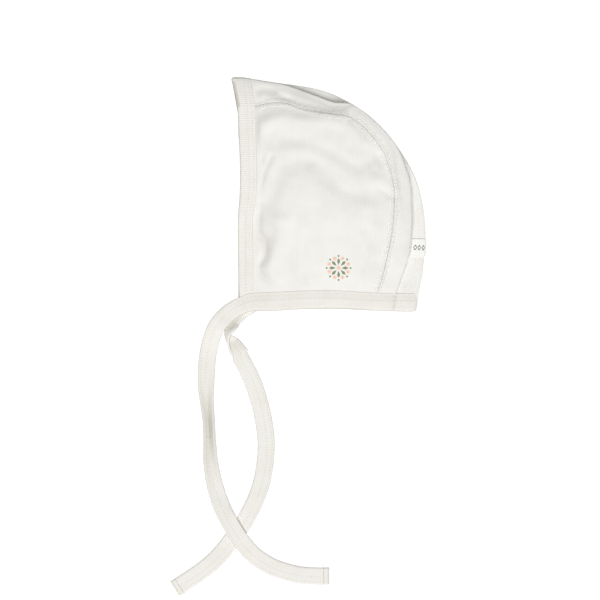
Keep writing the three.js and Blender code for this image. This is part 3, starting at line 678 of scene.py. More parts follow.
def framed(inner, across, step=0.21, ease=5):
    """A course at even steps with its length along, and the directions across and out of the binding."""
    inner, across = even(inner, step, across)
    inner, across = blurred(inner, ease), blurred(across, 3 * ease)
    middle = inner + across / 2
    along = unit(np.gradient(middle, axis=0))
    width = np.linalg.norm(across, axis=1)
    side = unit(across)
    up = unit(np.cross(side, along))
    if up[0, 2] < 0:
        up = -up
    return inner, side, up, width, lengths(inner)


def binding_rings(course, rib_shade, sunk=BINDING_SUNK, pressed=1.0, behind=0.0):
    """A binding's rings. Where pressed is below 1 it is flattened, and behind shades its folded edge."""
    inner, side, up, width, s = course
    outer = np.array([0, 0.12, 0.3, 0.6, 1.2, 1.8, 2.3, 2.8, 3.6, 4.4, 5.2, 5.8, 6.4, 7.2, 8.2])
    share_ = np.linspace(0, 1, 9)[1:]
    across = np.concatenate(
        [np.broadcast_to(outer, (len(s), len(outer))), 8.2 + share_ * (width[:, None] - 8.2)], axis=1
    )
    top = binding_top(across, width[:, None], s[:, None], np.reshape(sunk, (-1, 1)))
    top[:, -1] = 0
    pits = needle_pits(across, s[:, None])
    depth = TUCKED_IN + 0.6
    slot = [(0.0, -SLOT_HALF), (depth, -SLOT_HALF), (depth, SLOT_HALF), (0.0, SLOT_HALF)]
    slot_across = np.broadcast_to([a for a, _ in slot], (len(s), 4))
    slot_height = np.broadcast_to([h for _, h in slot], (len(s), 4))
    all_across = np.concatenate([across, across[:, -2::-1], slot_across], axis=1)
    all_height = np.concatenate([top, -top[:, -2::-1], slot_height], axis=1) * np.reshape(pressed, (-1, 1))
    rings = inner[:, None] + side[:, None] * all_across[..., None] + up[:, None] * all_height[..., None]
    uv = cloth_uv(s[:, None], all_across)
    # Painted shade in the binding's colour: in needle pits, partly the thread's pale brown; between the ribs;
    # on the folded edge that behind gives; and a painted shadow line at the lip
    shade = NEEDLE_SHADE * np.concatenate([pits, pits[:, -2::-1], np.zeros((len(s), 4))], axis=1)
    shade = shade + rib_shade * between_ribs(s)
    shade = shade + np.reshape(behind, (-1, 1)) * smooth((all_across - width[:, None] + 2.6) / 0.8)
    at_lip = np.exp(-((all_across / 0.25) ** 2))
    at_lip[:, -4:] = 0
    shade = shade + LIP_SHADE * at_lip
    return rings, uv, shade


# The face binding's upper end goes this far into the neck binding, with this way across it.
FACE_END_IN = np.array([0.0, 2.2, 0.0])
FACE_END_ACROSS = np.array([-10.4, -2.6, 0.0])
LEAD_STEPS = 59
upper_leg = leg(FACE_UPPER, FACE_SPREAD, 0.006, 500)
end_share = np.linspace(1, 0.1, 10)[:, None]
face_end = upper_leg[0][0] - end_share * FACE_END_IN, mix(upper_leg[1][0], FACE_END_ACROSS, end_share)
face_course = framed(
    *dense_course(
        [
            face_end,
            upper_leg,
            over_crown(0, FACE_CROWN, 300),
            under_leg(FACE_LOWER, FACE_CROWN[-1], FACE_UNDER, 0.006, 400, FACE_CORNER),
        ]
    )
)
lead = neck_rows[: TIE_ROOTS + 1]
lead_share = np.linspace(0, 1, LEAD_STEPS + 1)[:-1]
lead_upper = spline(lead[:, :3], lead_share), spline(lead[:, 3:], lead_share)
corner = on_table(inner_neck[:1, :3])[0]
lead = np.vstack([[*corner, *inner_neck[0, 3:]], NECK_UNDER])
past_corner = lead_share + 1 / LEAD_STEPS
lead_lower = spline(lead[:, :3], past_corner), spline(lead[:, 3:], past_corner)
neck_parts = [
    lead_upper,
    leg(NECK_UPPER, NECK_SPREAD, 0, 400),
    over_crown(LAST, NECK_CROWN, 300),
    under_leg(NECK_LOWER, NECK_CROWN[-1], inner_neck[0, 3:], 0, 400),
    lead_lower,
]
neck_course = framed(*dense_course(neck_parts), ease=11)


# Ties
# Places across a tie, closer at its edges and needle rows
TIE_ACROSS = np.array(
    [0, 0.12, 0.35, 0.8, 1.4, 1.7, 2.0, 2.3, 2.7, 3.4, 4.4, 5.3]
    + [5.8, 6.2, 6.6, 7.2, 8.2, 9.4, 10.6, 11.6, 12.4, 12.9, 13.2, TIE_WIDTH]
)
TIE_NEEDLES = [2.0, 6.2]
TIE_RINGS = 1300
HEM = 4.6
HEM_MARGIN = 0.9
HEM_PITCH = 1.5
HEM_STITCH = 0.95
ROOT_EASE = 14.0
# Where painted shade darkens the twisted tie: along it on its lower and upper face, and across its upper face
TWIST_BELOW = (33, 50)
TWIST_ABOVE = 30
TWIST_ACROSS = 11.5


def tie_frames(rows_, steps, root_side):
    """Places along a tie: path, side, up, gutter, where it bends, half thickness and length along."""
    whole = [rows_[0]]
    for row in rows_[1:]:
        whole.append((*row, *whole[-1][len(row) :]))
    table = np.array(whole, float)
    t = np.linspace(0, 1, steps)
    path = spline(table[:, :3], t)
    pose = spline(table[:, 3:], t)
    roll, gutter, bend_at = np.radians(pose[:, 0]), np.radians(pose[:, 1]), pose[:, 2]
    forward = np.gradient(path, axis=0)
    forward[:, 2] = 0
    forward = unit(forward)
    s = lengths(path)
    level = np.stack([-forward[:, 1], forward[:, 0], np.zeros(steps)], 1)
    level = unit(mix(root_side * [1, 1, 0], level, smooth(s / ROOT_EASE)[:, None]))
    z = np.array([0.0, 0.0, 1.0])
    side = level * np.cos(roll)[:, None] + z * np.sin(roll)[:, None]
    up = z * np.cos(roll)[:, None] - level * np.sin(roll)[:, None]
    half = mix(TIE_ROOT_THICK, TIE_THICK, smooth(t * 12)) / 2
    return path, side, up, gutter, bend_at, half, s


def tie_rings(frames, root_middle, root_width, root_top, twisted):
    """The tie's rings, from the end of the binding that it runs on from. twisted is the painted shade by a
    twist.
    """
    path, side, up, gutter, bend_at, half, s = frames
    eased = smooth(s / ROOT_EASE)[:, None]
    across = TIE_ACROSS[None, :] * mix(root_width / TIE_WIDTH, 1, eased)
    width = across[:, -1:]
    edge = rounded(np.minimum(across, width - across) / 1.3)
    pits = needle_pits(across, s[:, None], TIE_NEEDLES, 0.45)
    from_end = (s[-1] - s)[:, None]
    hem = np.exp(-(((from_end - HEM) / 0.3) ** 2)) + 0.6 * np.exp(-(((from_end - 1.0) / 0.3) ** 2))
    relief = TIE_RIB_HEIGHT * np.cos(2 * math.pi * s / RIB_PITCH)[:, None] - 0.12 * pits
    relief = relief + 0.25 * smooth((HEM - from_end) / 0.5) - 0.3 * hem
    top = half[:, None] * edge + relief * edge
    top = mix(root_top(across, width, s[:, None]), top, eased)
    top = top * rounded(from_end / 0.9, 0.03)
    top[:, [0, -1]] = 0
    offset = np.concatenate([across, across[:, -2:0:-1]], axis=1) - width / 2
    height = np.concatenate([top, -top[:, -2:0:-1]], axis=1)
    out = offset - bend_at[:, None]
    soft = np.sqrt(out**2 + 1.5**2) - 1.5
    cos_, sin_ = np.cos(gutter)[:, None], np.sin(gutter)[:, None]
    a = out * cos_ - np.sign(out) * height * sin_ * smooth(np.abs(out) / 2)
    b = soft * sin_ + height * cos_
    lowest = (a * side[:, 2:] + b * up[:, 2:]).min(axis=1)
    origin = path.copy()
    origin[:, 2] = np.maximum(origin[:, 2], 0) - lowest
    origin = origin + (root_middle - origin[0]) * (1 - eased)
    rings = origin[:, None] + side[:, None] * a[..., None] + up[:, None] * b[..., None]
    uv = cloth_uv(s[:, None], offset)
    # Painted shade in the tie's colour: in needle pits and hem folds, partly the thread's pale brown; between
    # the ribs; in the cupped stretch; and where the twist lies in shadow
    stitch_tint_and_shade = NEEDLE_SHADE * np.clip(pits + 1.2 * hem, 0, 1) * np.ones_like(across)
    stitch_tint_and_shade = stitch_tint_and_shade + TIE_RIB_SHADE * between_ribs(s)
    stitch_tint_and_shade = stitch_tint_and_shade + CUP_SHADE * np.sin(np.clip(gutter, 0, None))[:, None] ** 2
    below = stitch_tint_and_shade + twisted * (smooth((s - TWIST_BELOW[0]) / 3) * smooth((TWIST_BELOW[1] - s) / 12))[:, None]
    stitch_tint_and_shade = stitch_tint_and_shade + twisted * smooth((TWIST_ABOVE - s) / 6)[:, None] * smooth((TWIST_ACROSS - across) / 2.5)
    shade = np.concatenate([stitch_tint_and_shade, below[:, -2:0:-1]], axis=1)
    return rings, uv, shade


# Materials
# The colour that the shade attribute mixes into the cloth: painted shade in hollows, cupped ties, rib
# valleys, the seam's band, at the binding's lip and at upright edges, and in needle pits partly the thread's
# pale brown
THREAD_AND_SHADE_COLOUR = (0.56, 0.53, 0.465)
# A mix node's sockets for colours
MIX_FIRST, MIX_SECOND, MIX_RESULT = 6, 7, 2


def shader(name, colour, roughness, sheen=0.0):
    material = bpy.data.materials.new(name)
    material.use_nodes = True
    tree = material.node_tree
    base = tree.nodes["Principled BSDF"]
    base.inputs["Base Color"].default_value = (*colour, 1)
    base.inputs["Roughness"].default_value = roughness
    base.inputs["Specular IOR Level"].default_value = 0.25
    base.inputs["Sheen Weight"].default_value = sheen
    base.inputs["Sheen Roughness"].default_value = 0.6
    return material, tree, base


def node(tree, kind, **values):
    made = tree.nodes.new(kind)
    for key, value in values.items():
        if key in made.inputs:
            made.inputs[key].default_value = value
        else:
            setattr(made, key, value)
    return made


def link(tree, *ends):
    for a, b in zip(ends[::2], ends[1::2]):
        tree.links.new(a, b)


def noise(tree, **values):
    """Noise in the object's own coordinates."""
    made = node(tree, "ShaderNodeTexNoise", **values)
    link(tree, node(tree, "ShaderNodeTexCoord").outputs["Object"], made.inputs["Vector"])
    return made.outputs["Fac"]


def bumped(tree, base, height, strength, distance):
    bump = node(tree, "ShaderNodeBump", Strength=strength, Distance=distance)
    link(tree, height, bump.inputs["Height"], bump.outputs["Normal"], base.inputs["Normal"])


def blend(tree, factor, low, high, start=0.0, end=1.0):
    """A colour between low and high as the factor goes from start to end."""
    ramp = node(tree, "ShaderNodeValToRGB")
    for element, place_, colour in zip(ramp.color_ramp.elements, (start, end), (low, high)):
        element.position = place_
        element.color = (*colour, 1)
    link(tree, factor, ramp.inputs["Fac"])
    return ramp.outputs["Color"]


def knit(name, colour, shade, wale_pitch=1.5, course_pitch=1.15, depth=0.05, wale_tone=0.1):
    """Jersey: wales and courses on the cloth's own coordinates, fine fibres and a slightly uneven tone."""
    material, tree, base = shader(name, colour, 0.92, 0.12)
    cloth = node(tree, "ShaderNodeUVMap", uv_map="cloth")
    split = node(tree, "ShaderNodeSeparateXYZ")
    link(tree, cloth.outputs["UV"], split.inputs[0])

    def wave(axis, pitch):
        turn = node(tree, "ShaderNodeMath", operation="MULTIPLY")
        turn.inputs[1].default_value = 2 * math.pi / (pitch * METRE)
        sine = node(tree, "ShaderNodeMath", operation="SINE")
        link(tree, split.outputs[axis], turn.inputs[0], turn.outputs[0], sine.inputs[0])
        return sine.outputs[0]

    def add(a, b, scale_b):
        made = node(tree, "ShaderNodeMath", operation="MULTIPLY_ADD")
        made.inputs[1].default_value = scale_b
        link(tree, b, made.inputs[0], a, made.inputs[2])
        return made.outputs[0]

    fibres = noise(tree, Scale=2600.0, Detail=3.0, Roughness=0.6)
    tone = noise(tree, Scale=55.0, Detail=4.0, Roughness=0.55)
    height = add(wave(0, wale_pitch), wave(1, course_pitch), 0.45)
    height = add(height, fibres, 1.6)
    bumped(tree, base, height, 0.55, depth * METRE)
    tinted = add(tone, wave(0, wale_pitch), wale_tone)
    tinted = add(tinted, fibres, 0.12)
    # The shade attribute darkens the cloth's colour with painted shade; in needle pits it is partly the
    # thread's pale brown
    pull_and_shade = node(tree, "ShaderNodeAttribute", attribute_name="shade")
    darker = node(tree, "ShaderNodeMix", data_type="RGBA")
    darker.inputs[MIX_SECOND].default_value = (*THREAD_AND_SHADE_COLOUR, 1)
    link(tree, pull_and_shade.outputs["Fac"], darker.inputs["Factor"])
    link(tree, blend(tree, tinted, shade, colour, 0.36, 0.62), darker.inputs[MIX_FIRST])
    link(tree, darker.outputs[MIX_RESULT], base.inputs["Base Color"])
    return material


def ribbed(name, colour, shade):
    """The bindings' cloth, whose ribs are in the mesh: finer stitches on the ribs, fibres and tone."""
    return knit(name, colour, shade, wale_pitch=RIB_PITCH, course_pitch=0.9, depth=0.012, wale_tone=0.03)


def thread(name, colour, shade):
    """Sewing thread: a fine twist and a little shine."""
    material, tree, base = shader(name, colour, 0.7, 0.1)
    twist = noise(tree, Scale=4200.0, Detail=2.0)
    bumped(tree, base, twist, 0.4, 0.03 * METRE)
    link(tree, blend(tree, twist, shade, colour), base.inputs["Base Color"])
    return material


def ink(name, colour, shade):
    """Print ink that lets the knit's grain through."""
    material, tree, base = shader(name, colour, 0.85)
    grain = noise(tree, Scale=1500.0, Detail=3.0)
    link(tree, blend(tree, grain, shade, colour, 0.3, 0.6), base.inputs["Base Color"])
    return material


jersey = knit("jersey", (0.806, 0.796, 0.765), (0.765, 0.752, 0.714))
smooth_jersey = knit("smooth_jersey", (0.806, 0.796, 0.765), (0.765, 0.752, 0.714), wale_tone=0.03)
rib = ribbed("rib", (0.808, 0.794, 0.752), (0.775, 0.758, 0.712))
sewing = thread("sewing_thread", (0.88, 0.875, 0.85), (0.82, 0.81, 0.78))
needle_thread = thread("needle_thread", (0.66, 0.61, 0.51), (0.56, 0.51, 0.41))
woven = knit("woven_tape", (0.86, 0.855, 0.835), (0.84, 0.835, 0.81), 0.45, 0.4, 0.015)
olive_thread = thread("olive_thread", (0.19, 0.21, 0.12), (0.13, 0.145, 0.08))
leaf_ink = ink("leaf_ink", (0.20, 0.24, 0.13), (0.27, 0.31, 0.20))
petal_ink = ink("petal_ink", (0.82, 0.52, 0.40), (0.84, 0.60, 0.49))


# Cloth pieces
def with_margins(grid, face, neck):
    """A panel's grid with the margins that go into the two bindings."""
    neck_margin = grid[:1] + unit(neck)[None] * TUCKED_IN
    grid = np.concatenate([neck_margin, grid])
    face_margin = grid[:, :1] + unit(face)[:, None] * TUCKED_IN
    return np.concatenate([face_margin, grid], axis=1)


def sheet_piece(name, grid, thickness, uv, shade, material, slot, node_name, edge=EDGE_SHADE):
    """A closed wall of cloth in place of its solid, with its points and faces."""
    points, faces, rim, uv = shell(grid, thickness, uv)
    made = piece(name, points, faces, material, slot, uv, rim, np.tile(shade.ravel(), 2), edge)
    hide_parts(node_name)
    return made, (points, faces)


def band(name, rings, uv, shade, slot, node_name):
    """Rings of ribbed cloth joined in place of their solid."""
    points, faces, uv = swept(rings, uv)
    made = piece(name, points, faces, rib, slot, uv, 2, shade)
    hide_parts(node_name)
    return made


HALF_GAP = SEAM_GAP / 2
NEAR_GRID, FAR_GRID, STRIP_GRID = (190, 230), (60, 80), (300, 120)
NEAR_SPAN, FAR_SPAN, PROFILE_SPAN = (95, 150), (95, 140), 6
u, v = (np.linspace(0, 1 - HALF_GAP / span, count) for span, count in zip(NEAR_SPAN, NEAR_GRID))
near_grid = with_margins(upper_panel(u, v), spline(FACE_SPREAD, np.r_[0, v]), spline(NECK_SPREAD, u))
to_seam = from_seam(np.r_[0, u][None, :], np.r_[0, v][:, None])
near_uv, near_shade = near_grid[..., :2] * METRE, hollow_shade(near_grid, 12) + seam_shade(to_seam)
panel_left, near_mesh = sheet_piece(
    "panel_left", near_grid, CLOTH, near_uv, near_shade, jersey, "panel_left", "side_panel_left", 0
)

u = np.r_[0, 0.015, 0.03, 0.05, 0.07, np.linspace(0.09, 1 - HALF_GAP / FAR_SPAN[0], FAR_GRID[0])]
v = np.r_[0, 0.01, 0.02, 0.035, 0.05, np.linspace(0.07, 1 - HALF_GAP / FAR_SPAN[1], FAR_GRID[1])]
face_way = np.broadcast_to(FACE_UNDER, (len(v) + 1, 3))
neck_way = np.broadcast_to([0.0, -1.0, 0.0], (len(u), 3))
far_grid = with_margins(lower_panel(u, v), face_way, neck_way)
far_uv, far_shade = far_grid[..., :2] * METRE, np.zeros(far_grid.shape[:2])
panel_right, _ = sheet_piece(
    "panel_right", far_grid, CLOTH, far_uv, far_shade, jersey, "panel_right", "side_panel_right"
)

t = np.linspace(0, LAST, STRIP_GRID[0])
w = np.linspace(HALF_GAP / PROFILE_SPAN, PROFILE_LAST - HALF_GAP / PROFILE_SPAN, STRIP_GRID[1])
strip_points = crown_cloth(t, w)
face_way = unit(spline(np.array(FACE_CROWN), w / PROFILE_LAST)) * TUCKED_IN
neck_way = unit(spline(np.array(NECK_CROWN), w / PROFILE_LAST)) * TUCKED_IN
strip_points = np.concatenate([strip_points[:1] + face_way, strip_points, strip_points[-1:] + neck_way])
middle_line = lengths(strip_points[:, 30])
cross_line = lengths(strip_points[150])
strip_uv = cloth_uv(cross_line[None, :], middle_line[:, None])
to_seam = np.linalg.norm(strip_points - strip_points[:, :1], axis=-1)
shade, edge = hollow_shade(strip_points, 5) + seam_shade(to_seam), STRIP_EDGE_SHADE
crown, crown_mesh = sheet_piece(
    "crown_strip_cloth", strip_points, CLOTH, strip_uv, shade, smooth_jersey, "strip", "crown_strip", edge
)

face_y = face_course[0][:, 1]
face_sunk = 0.15 + 0.3 * smooth((10 - face_y) / 25)
# Painted shade along the face binding's outer edge near the crown, where the binding beneath lies in shade
face_behind = 0.75 * smooth((face_y - 65) / 3) * smooth((87 - face_y) / 2)
face_pressed = mix(0.3, 1, smooth((face_course[4] - 1.3) / 1.2))
face_rings = binding_rings(face_course, FACE_RIB_SHADE, face_sunk, face_pressed, face_behind)
face_tape = band("face_binding_tape", *face_rings, "binding_face", "face_binding")
neck_rings = binding_rings(neck_course, NECK_RIB_SHADE)
neck_tape = band("neck_binding_tape", *neck_rings, "binding_neck", "neck_binding")

tie_pieces = {}
tie_plans = [
    ("upper_tie", UPPER_TIE, "tie_left", 0, 0.0),
    ("lower_tie", LOWER_TIE, "tie_right", -1, TWIST_SHADE),
]
for name, rows_, node_name, end, twisted in tie_plans:
    inner, side, _, width, _ = (part[end] for part in neck_course)
    frames = tie_frames(rows_, TIE_RINGS, side)
    rings, uv, shade = tie_rings(frames, inner + side * width / 2, width, binding_top, twisted)
    tape = band(name, rings, uv, shade, node_name, node_name)
    tie_pieces[name] = (tape, rings, frames[-1], node_name)


# Threads laid over the surface
def threads(name, paths, radius, material, slot, end_scale=0.55):
    return piece(name, *tubes(paths, radius, end_scale), material, slot)


def bvh(*meshes):
    points, faces = [], []
    for p, f in meshes:
        shift_ = sum(len(q) for q in points)
        points.append(p)
        faces += [[i + shift_ for i in face] for face in f]
    return BVHTree.FromPolygons(np.vstack(points).tolist(), faces)


cover = bvh(near_mesh, crown_mesh)


def draped(points, lift, tree=cover):
    """points moved straight up or down on to the cloth's upper face, then lifted off it."""
    flat = np.asarray(points, float).reshape(-1, 3).copy()
    for p in flat:
        hit = tree.ray_cast(Vector((p[0], p[1], 80)), Vector((0, 0, -1)))[0]
        if hit is not None:
            p[2] = hit[2]
    flat = flat.reshape(np.shape(points))
    flat[..., 2] += lift
    return flat


SEAM_STEP = 0.05
SEAM_STOP = 20
STRAND_POINTS = 7
STRAND_SLANT = 0.9
STRAND_LIFT = 0.16
seam_line = even(upper_seam(np.linspace(0.12, LAST - 0.1, 900)), SEAM_STEP)[0]
seam_way = unit(np.gradient(seam_line, axis=0) * [1, 1, 0])
seam_out = np.stack([-seam_way[:, 1], seam_way[:, 0], np.zeros(len(seam_way))], 1)


def across_seam(picks, distance, along):
    """Points beside the seam's picked places, at distances outward and along it."""
    base = seam_line[picks][:, None] + seam_out[picks][:, None] * distance[..., None]
    return base + seam_way[picks][:, None] * along[..., None]


def stitches_from(start):
    """The seam's picked places, one for each stitch."""
    return np.arange(int(start / SEAM_STEP), len(seam_line) - SEAM_STOP, int(SEAM_PITCH / SEAM_STEP))


def seam_strands(start, reach):
    """One slanting thread across half the seam's band at each stitch, a little uneven."""
    picks = stitches_from(start)
    d = np.linspace(0.08, 1, STRAND_POINTS)[None, :] * (reach + rng.normal(0, 0.16, (len(picks), 1)))
    along = STRAND_SLANT * np.abs(d) + rng.normal(0, 0.08, (len(picks), 1))
    arch = STRAND_LIFT * np.sin(np.linspace(0.12, 0.9, STRAND_POINTS) * math.pi)
    return draped(across_seam(picks, d, along), arch)


def seam_dashes(start, distance, length, slant, lift):
    """A row of short threads along the seam."""
    picks = stitches_from(start)
    along = np.linspace(-0.5, 0.5, 5)[None, :] * length + rng.normal(0, 0.06, (len(picks), 1))
    d = distance + slant * along
    return draped(across_seam(picks, d, along), lift * np.cos(np.linspace(-1, 1, 5) * 1.2))


rng = np.random.default_rng(7)
strands = np.concatenate([seam_strands(1.0, SEAM_HALF), seam_strands(1.4, -SEAM_HALF)])
seam_threads_piece = threads("seam_cross_threads", strands, 0.3, sewing, "strip")
edge_rows = np.concatenate([seam_dashes(1.2, side * SEAM_HALF, 1.5, 0.0, 0.08) for side in (-1, 1)])
seam_rows_piece = threads("seam_edge_threads", edge_rows, 0.24, sewing, "strip")
needle_row = seam_dashes(1.6, 0.0, 1.1, 0.25, 0.02)
seam_needle_piece = threads("seam_needle_threads", needle_row, 0.17, needle_thread, "strip")


def along_course(values, s, where):
    return np.stack([np.interp(where, s, c) for c in values.T], -1)


def dash_places(first, last):
    """Where each needle dash's points lie along a binding or tie, from a first stitch to a last place."""
    starts = np.arange(first, int(last / STITCH_PITCH)) * STITCH_PITCH
    return starts[:, None] + np.linspace(-0.5, 0.5, 4)[None, :] * DOT_LENGTH


def binding_dots(course, first, last, sunk):
    """The needle threads' short pale brown dashes where they go into the binding."""
    inner, side, up, width, s = course
    where = dash_places(first, last)
    made = []
    for row in NEEDLE_ROWS:
        base, out, lift = (along_course(values, s, where) for values in (inner, side, up))
        wide = np.interp(where, s, width)
        top = binding_top(np.full(where.shape, row), wide, where, np.interp(where, s, sunk))
        made.append(base + out * row + lift * (top + 0.03)[..., None])
    return np.concatenate(made)


# How far the dashes go on past the upper legs of the face and neck binding
PAST_CROWN = (34, 30)
FIRST_FACE_DASH = 1
face_leg = lengths(FACE_UPPER)[-1]
dots = binding_dots(face_course, FIRST_FACE_DASH, face_leg + PAST_CROWN[0], face_sunk)
face_stitches = threads("face_binding_stitches", dots, DOT_RADIUS, needle_thread, "binding_face")
neck_leg = lengths(NECK_UPPER)[-1] + lengths(lead[:, :3])[-1]
neck_sunk = np.full(len(neck_course[4]), BINDING_SUNK)
dots = binding_dots(neck_course, 0, neck_leg + PAST_CROWN[1], neck_sunk)
neck_stitches = threads("neck_binding_stitches", dots, DOT_RADIUS, needle_thread, "binding_neck")


def tie_dots(rings, s):
    """Needle dashes on both faces of a tie, and the rows across its hem."""
    sides_count = len(TIE_ACROSS)
    middle = rings.mean(axis=1)
    made = []
    where = dash_places(1, s[-1] - HEM - 2)
    hem_rows = s[-1] - HEM + np.array([0.0, HEM - 1.0])
    for face in (0, 1):
        def line(k):
            return rings[:, k if face == 0 else (2 * sides_count - 2 - k) % rings.shape[1]]

        out = unit(np.cross(np.gradient(middle, axis=0), line(-4 % sides_count) - line(3)))
        if ((line(8) - middle) * out).sum() < 0:
            out = -out
        for row in TIE_NEEDLES:
            k = int(np.argmin(np.abs(TIE_ACROSS - row)))
            base, lift = along_course(line(k), s, where), along_course(out, s, where)
            made.append(base + lift * 0.03)
        for row in hem_rows:
            starts = np.arange(HEM_MARGIN, TIE_WIDTH - HEM_MARGIN, HEM_PITCH)
            spots = starts[:, None] + np.linspace(0, 1, 4)[None, :] * HEM_STITCH
            at = np.array([along_course(line(k), s, np.array([row]))[0] for k in range(sides_count)])
            normal = along_course(out, s, np.array([row]))[0]
            made.append(along_course(at, TIE_ACROSS, spots) + normal * 0.04)
    made = np.concatenate(made)
    return made[(made[..., 2] > 0.2).all(axis=1)]


# Loose thread ends at the hems: tie, start across the tie, and x y of the way they lie
LOOSE_THREADS = [
    ("upper_tie", 0.4, [(0.0, 0.0), (-0.8, -1.6), (-3.0, -3.9), (-5.6, -5.2)]),
    ("upper_tie", 12.9, [(0.0, 0.0), (0.1, 1.0), (0.5, 1.9), (1.0, 2.3)]),
    ("upper_tie", 0.6, [(0.4, 0.2), (0.7, -0.9), (1.1, -1.6), (1.5, -1.9)]),
    ("lower_tie", 0.4, [(0.0, 0.0), (0.9, -0.8), (1.9, -1.0), (2.9, -0.6)]),
]
THREAD_RADIUS = 0.22
for name, (_, rings, s, slot) in tie_pieces.items():
    dots = threads(name + "_stitches", tie_dots(rings, s), DOT_RADIUS, needle_thread, slot)
    strays = []
    at_hem = int(np.searchsorted(s, s[-1] - HEM))
    for tie_name, across, way in LOOSE_THREADS:
        if tie_name == name:
            start = along_course(rings[at_hem, : len(TIE_ACROSS)], TIE_ACROSS, np.array([across]))[0]
            lie = spline(np.c_[np.array(way), np.zeros(len(way))], np.linspace(0, 1, 24)) + start
            fall = np.linspace(0, 1, 24)
            lie[:, 2] = mix(start[2], THREAD_RADIUS, smooth(fall * 2.2))
            strays.append(lie)
    loose = threads(name + "_loose_threads", np.array(strays), THREAD_RADIUS, sewing, slot)


# Label
def label_surface(t_, w_, lift):
    step = 0.02
    tt, ww = np.meshgrid(t_, w_, indexing="ij")
    flat_t, flat_w = tt.ravel(), ww.ravel()
    along = strip_at(flat_t + step, flat_w) - strip_at(flat_t - step, flat_w)
    round_ = strip_at(flat_t, flat_w + step) - strip_at(flat_t, flat_w - step)
    out = unit(np.cross(along, round_))
    out = np.where(out[:, 2:] < -0.9, -out, out)
    base = strip_at(flat_t, flat_w)
    if out[:, 2].mean() < 0:
        out = -out
    return (base + out * (CLOTH / 2 + CLEARANCE + lift)).reshape(*tt.shape, 3)


label_t = np.linspace(LABEL_FROM, LABEL_TO, 40)
label_w = np.linspace(LABEL_START, LABEL_END, 44)
label_grid = label_surface(label_t, label_w, LABEL_THICK / 2)
tall = lengths(label_grid[:, 10])
wide = lengths(label_grid[20])
label_uv, label_shade = cloth_uv(wide[None, :], tall[:, None]), np.zeros(label_grid.shape[:2])
label, _ = sheet_piece(
    "woven_label", label_grid, LABEL_THICK, label_uv, label_shade, woven, "label", "back_label"
)


def on_label(along_, across_, lift):
    """Places on the label at shares of its height and width."""
    out = []
    for a, b in zip(np.ravel(along_), np.ravel(across_)):
        i, j = a * (len(label_t) - 1), b * (len(label_w) - 1)
        i0, j0 = min(int(i), len(label_t) - 2), min(int(j), len(label_w) - 2)
        f, g = i - i0, j - j0
        corner = label_grid[i0 : i0 + 2, j0 : j0 + 2]
        low, high = (corner[k, 0] * (1 - g) + corner[k, 1] * g for k in (0, 1))
        p = low * (1 - f) + high * f
        normal = np.cross(corner[0, 1] - corner[0, 0], corner[1, 0] - corner[0, 0])
        normal = normal / np.linalg.norm(normal)
        if normal[2] < 0:
            normal = -normal
        out.append(p + normal * (LABEL_THICK / 2 + lift))
    return np.array(out).reshape(*np.shape(along_), 3)


def lozenge(middle, half_width, half_height):
    """A small stitched lozenge on the label, as four short threads."""
    corners = [(0, 1), (1, 0), (0, -1), (-1, 0), (0, 1)]
    made = []
    for (ax, ay), (bx, by) in zip(corners, corners[1:]):
        share_ = np.linspace(0, 1, 4)
        high, wide_ = 0.5 + mix(ay, by, share_) * half_height, middle + mix(ax, bx, share_) * half_width
        made.append(on_label(high, wide_, 0.08))
    return made


ornament = []
for k in range(3):
    ornament += lozenge(0.17 + 0.21 * k, 0.07, 0.15)
ornament_piece = threads("label_ornament", np.array(ornament), 0.26, olive_thread, "label", 0.9)
edge_stitches = []
for height_share in (0.06, 0.94):
    for k in range(8):
        span = np.linspace(0.06 + k * 0.1, 0.06 + k * 0.1 + 0.07, 4)
        edge_stitches.append(on_label(np.full(4, height_share), span, 0.03))
label_stitches = threads("label_stitches", np.array(edge_stitches), 0.12, sewing, "label")


# Print: a small round medallion of lozenges and dots
PRINT_AT = (8.2, -58.6)
PRINT_LIFT = 0.1
SPOKES = 8


def decal(outline):
    """A filled outline, draped over the cloth as a thin closed patch."""
    outline = np.array(outline, float)
    middle = outline.mean(axis=0)
    share_ = np.linspace(0.02, 1, 5)
    flat = middle + (outline[None] - middle) * share_[:, None, None]
    flat = np.concatenate([flat, np.zeros((*flat.shape[:2], 1))], axis=2)
    top = draped(flat, PRINT_LIFT)
    bottom = top - [0, 0, PRINT_LIFT * 1.6]
    return top, bottom


def decal_mesh(outlines):
    points, faces = [], []
    for outline in outlines:
        top, bottom = decal(outline)
        ringed, count = top.shape[:2]
        first = sum(len(p) for p in points)
        index = np.arange(ringed * count).reshape(ringed, count) + first
        under = index + ringed * count
        points += [top.reshape(-1, 3), bottom.reshape(-1, 3)]
        after = np.roll(index, -1, axis=1)
        quads = np.stack([index[:-1], index[1:], after[1:], after[:-1]], -1).reshape(-1, 4)
        faces += quads.tolist() + (quads[:, ::-1] + ringed * count).tolist()
        faces += np.stack([index[-1], under[-1], np.roll(under[-1], -1), np.roll(index[-1], -1)], -1).tolist()
        faces += [index[0].tolist(), under[0, ::-1].tolist()]
    return np.vstack(points), faces


def turned(points_, angle, out):
    """Points of a motif moved outward from the medallion's middle, then turned."""
    c, d = math.cos(angle), math.sin(angle)
    return [(PRINT_AT[0] + (x + out) * c - y * d, PRINT_AT[1] + (x + out) * d + y * c) for x, y in points_]


def kite(length, width, angle, out):
    outline = []
    shares = [(-0.5, 0), (0.1, -0.5), (0.5, 0), (0.1, 0.5)]
    corners = [(x * length, y * width) for x, y in shares]
    for (ax, ay), (bx, by) in zip(corners, corners[1:] + corners[:1]):
        outline += [(mix(ax, bx, f), mix(ay, by, f)) for f in (0, 0.25, 0.5, 0.75)]
    return turned(outline, angle, out)


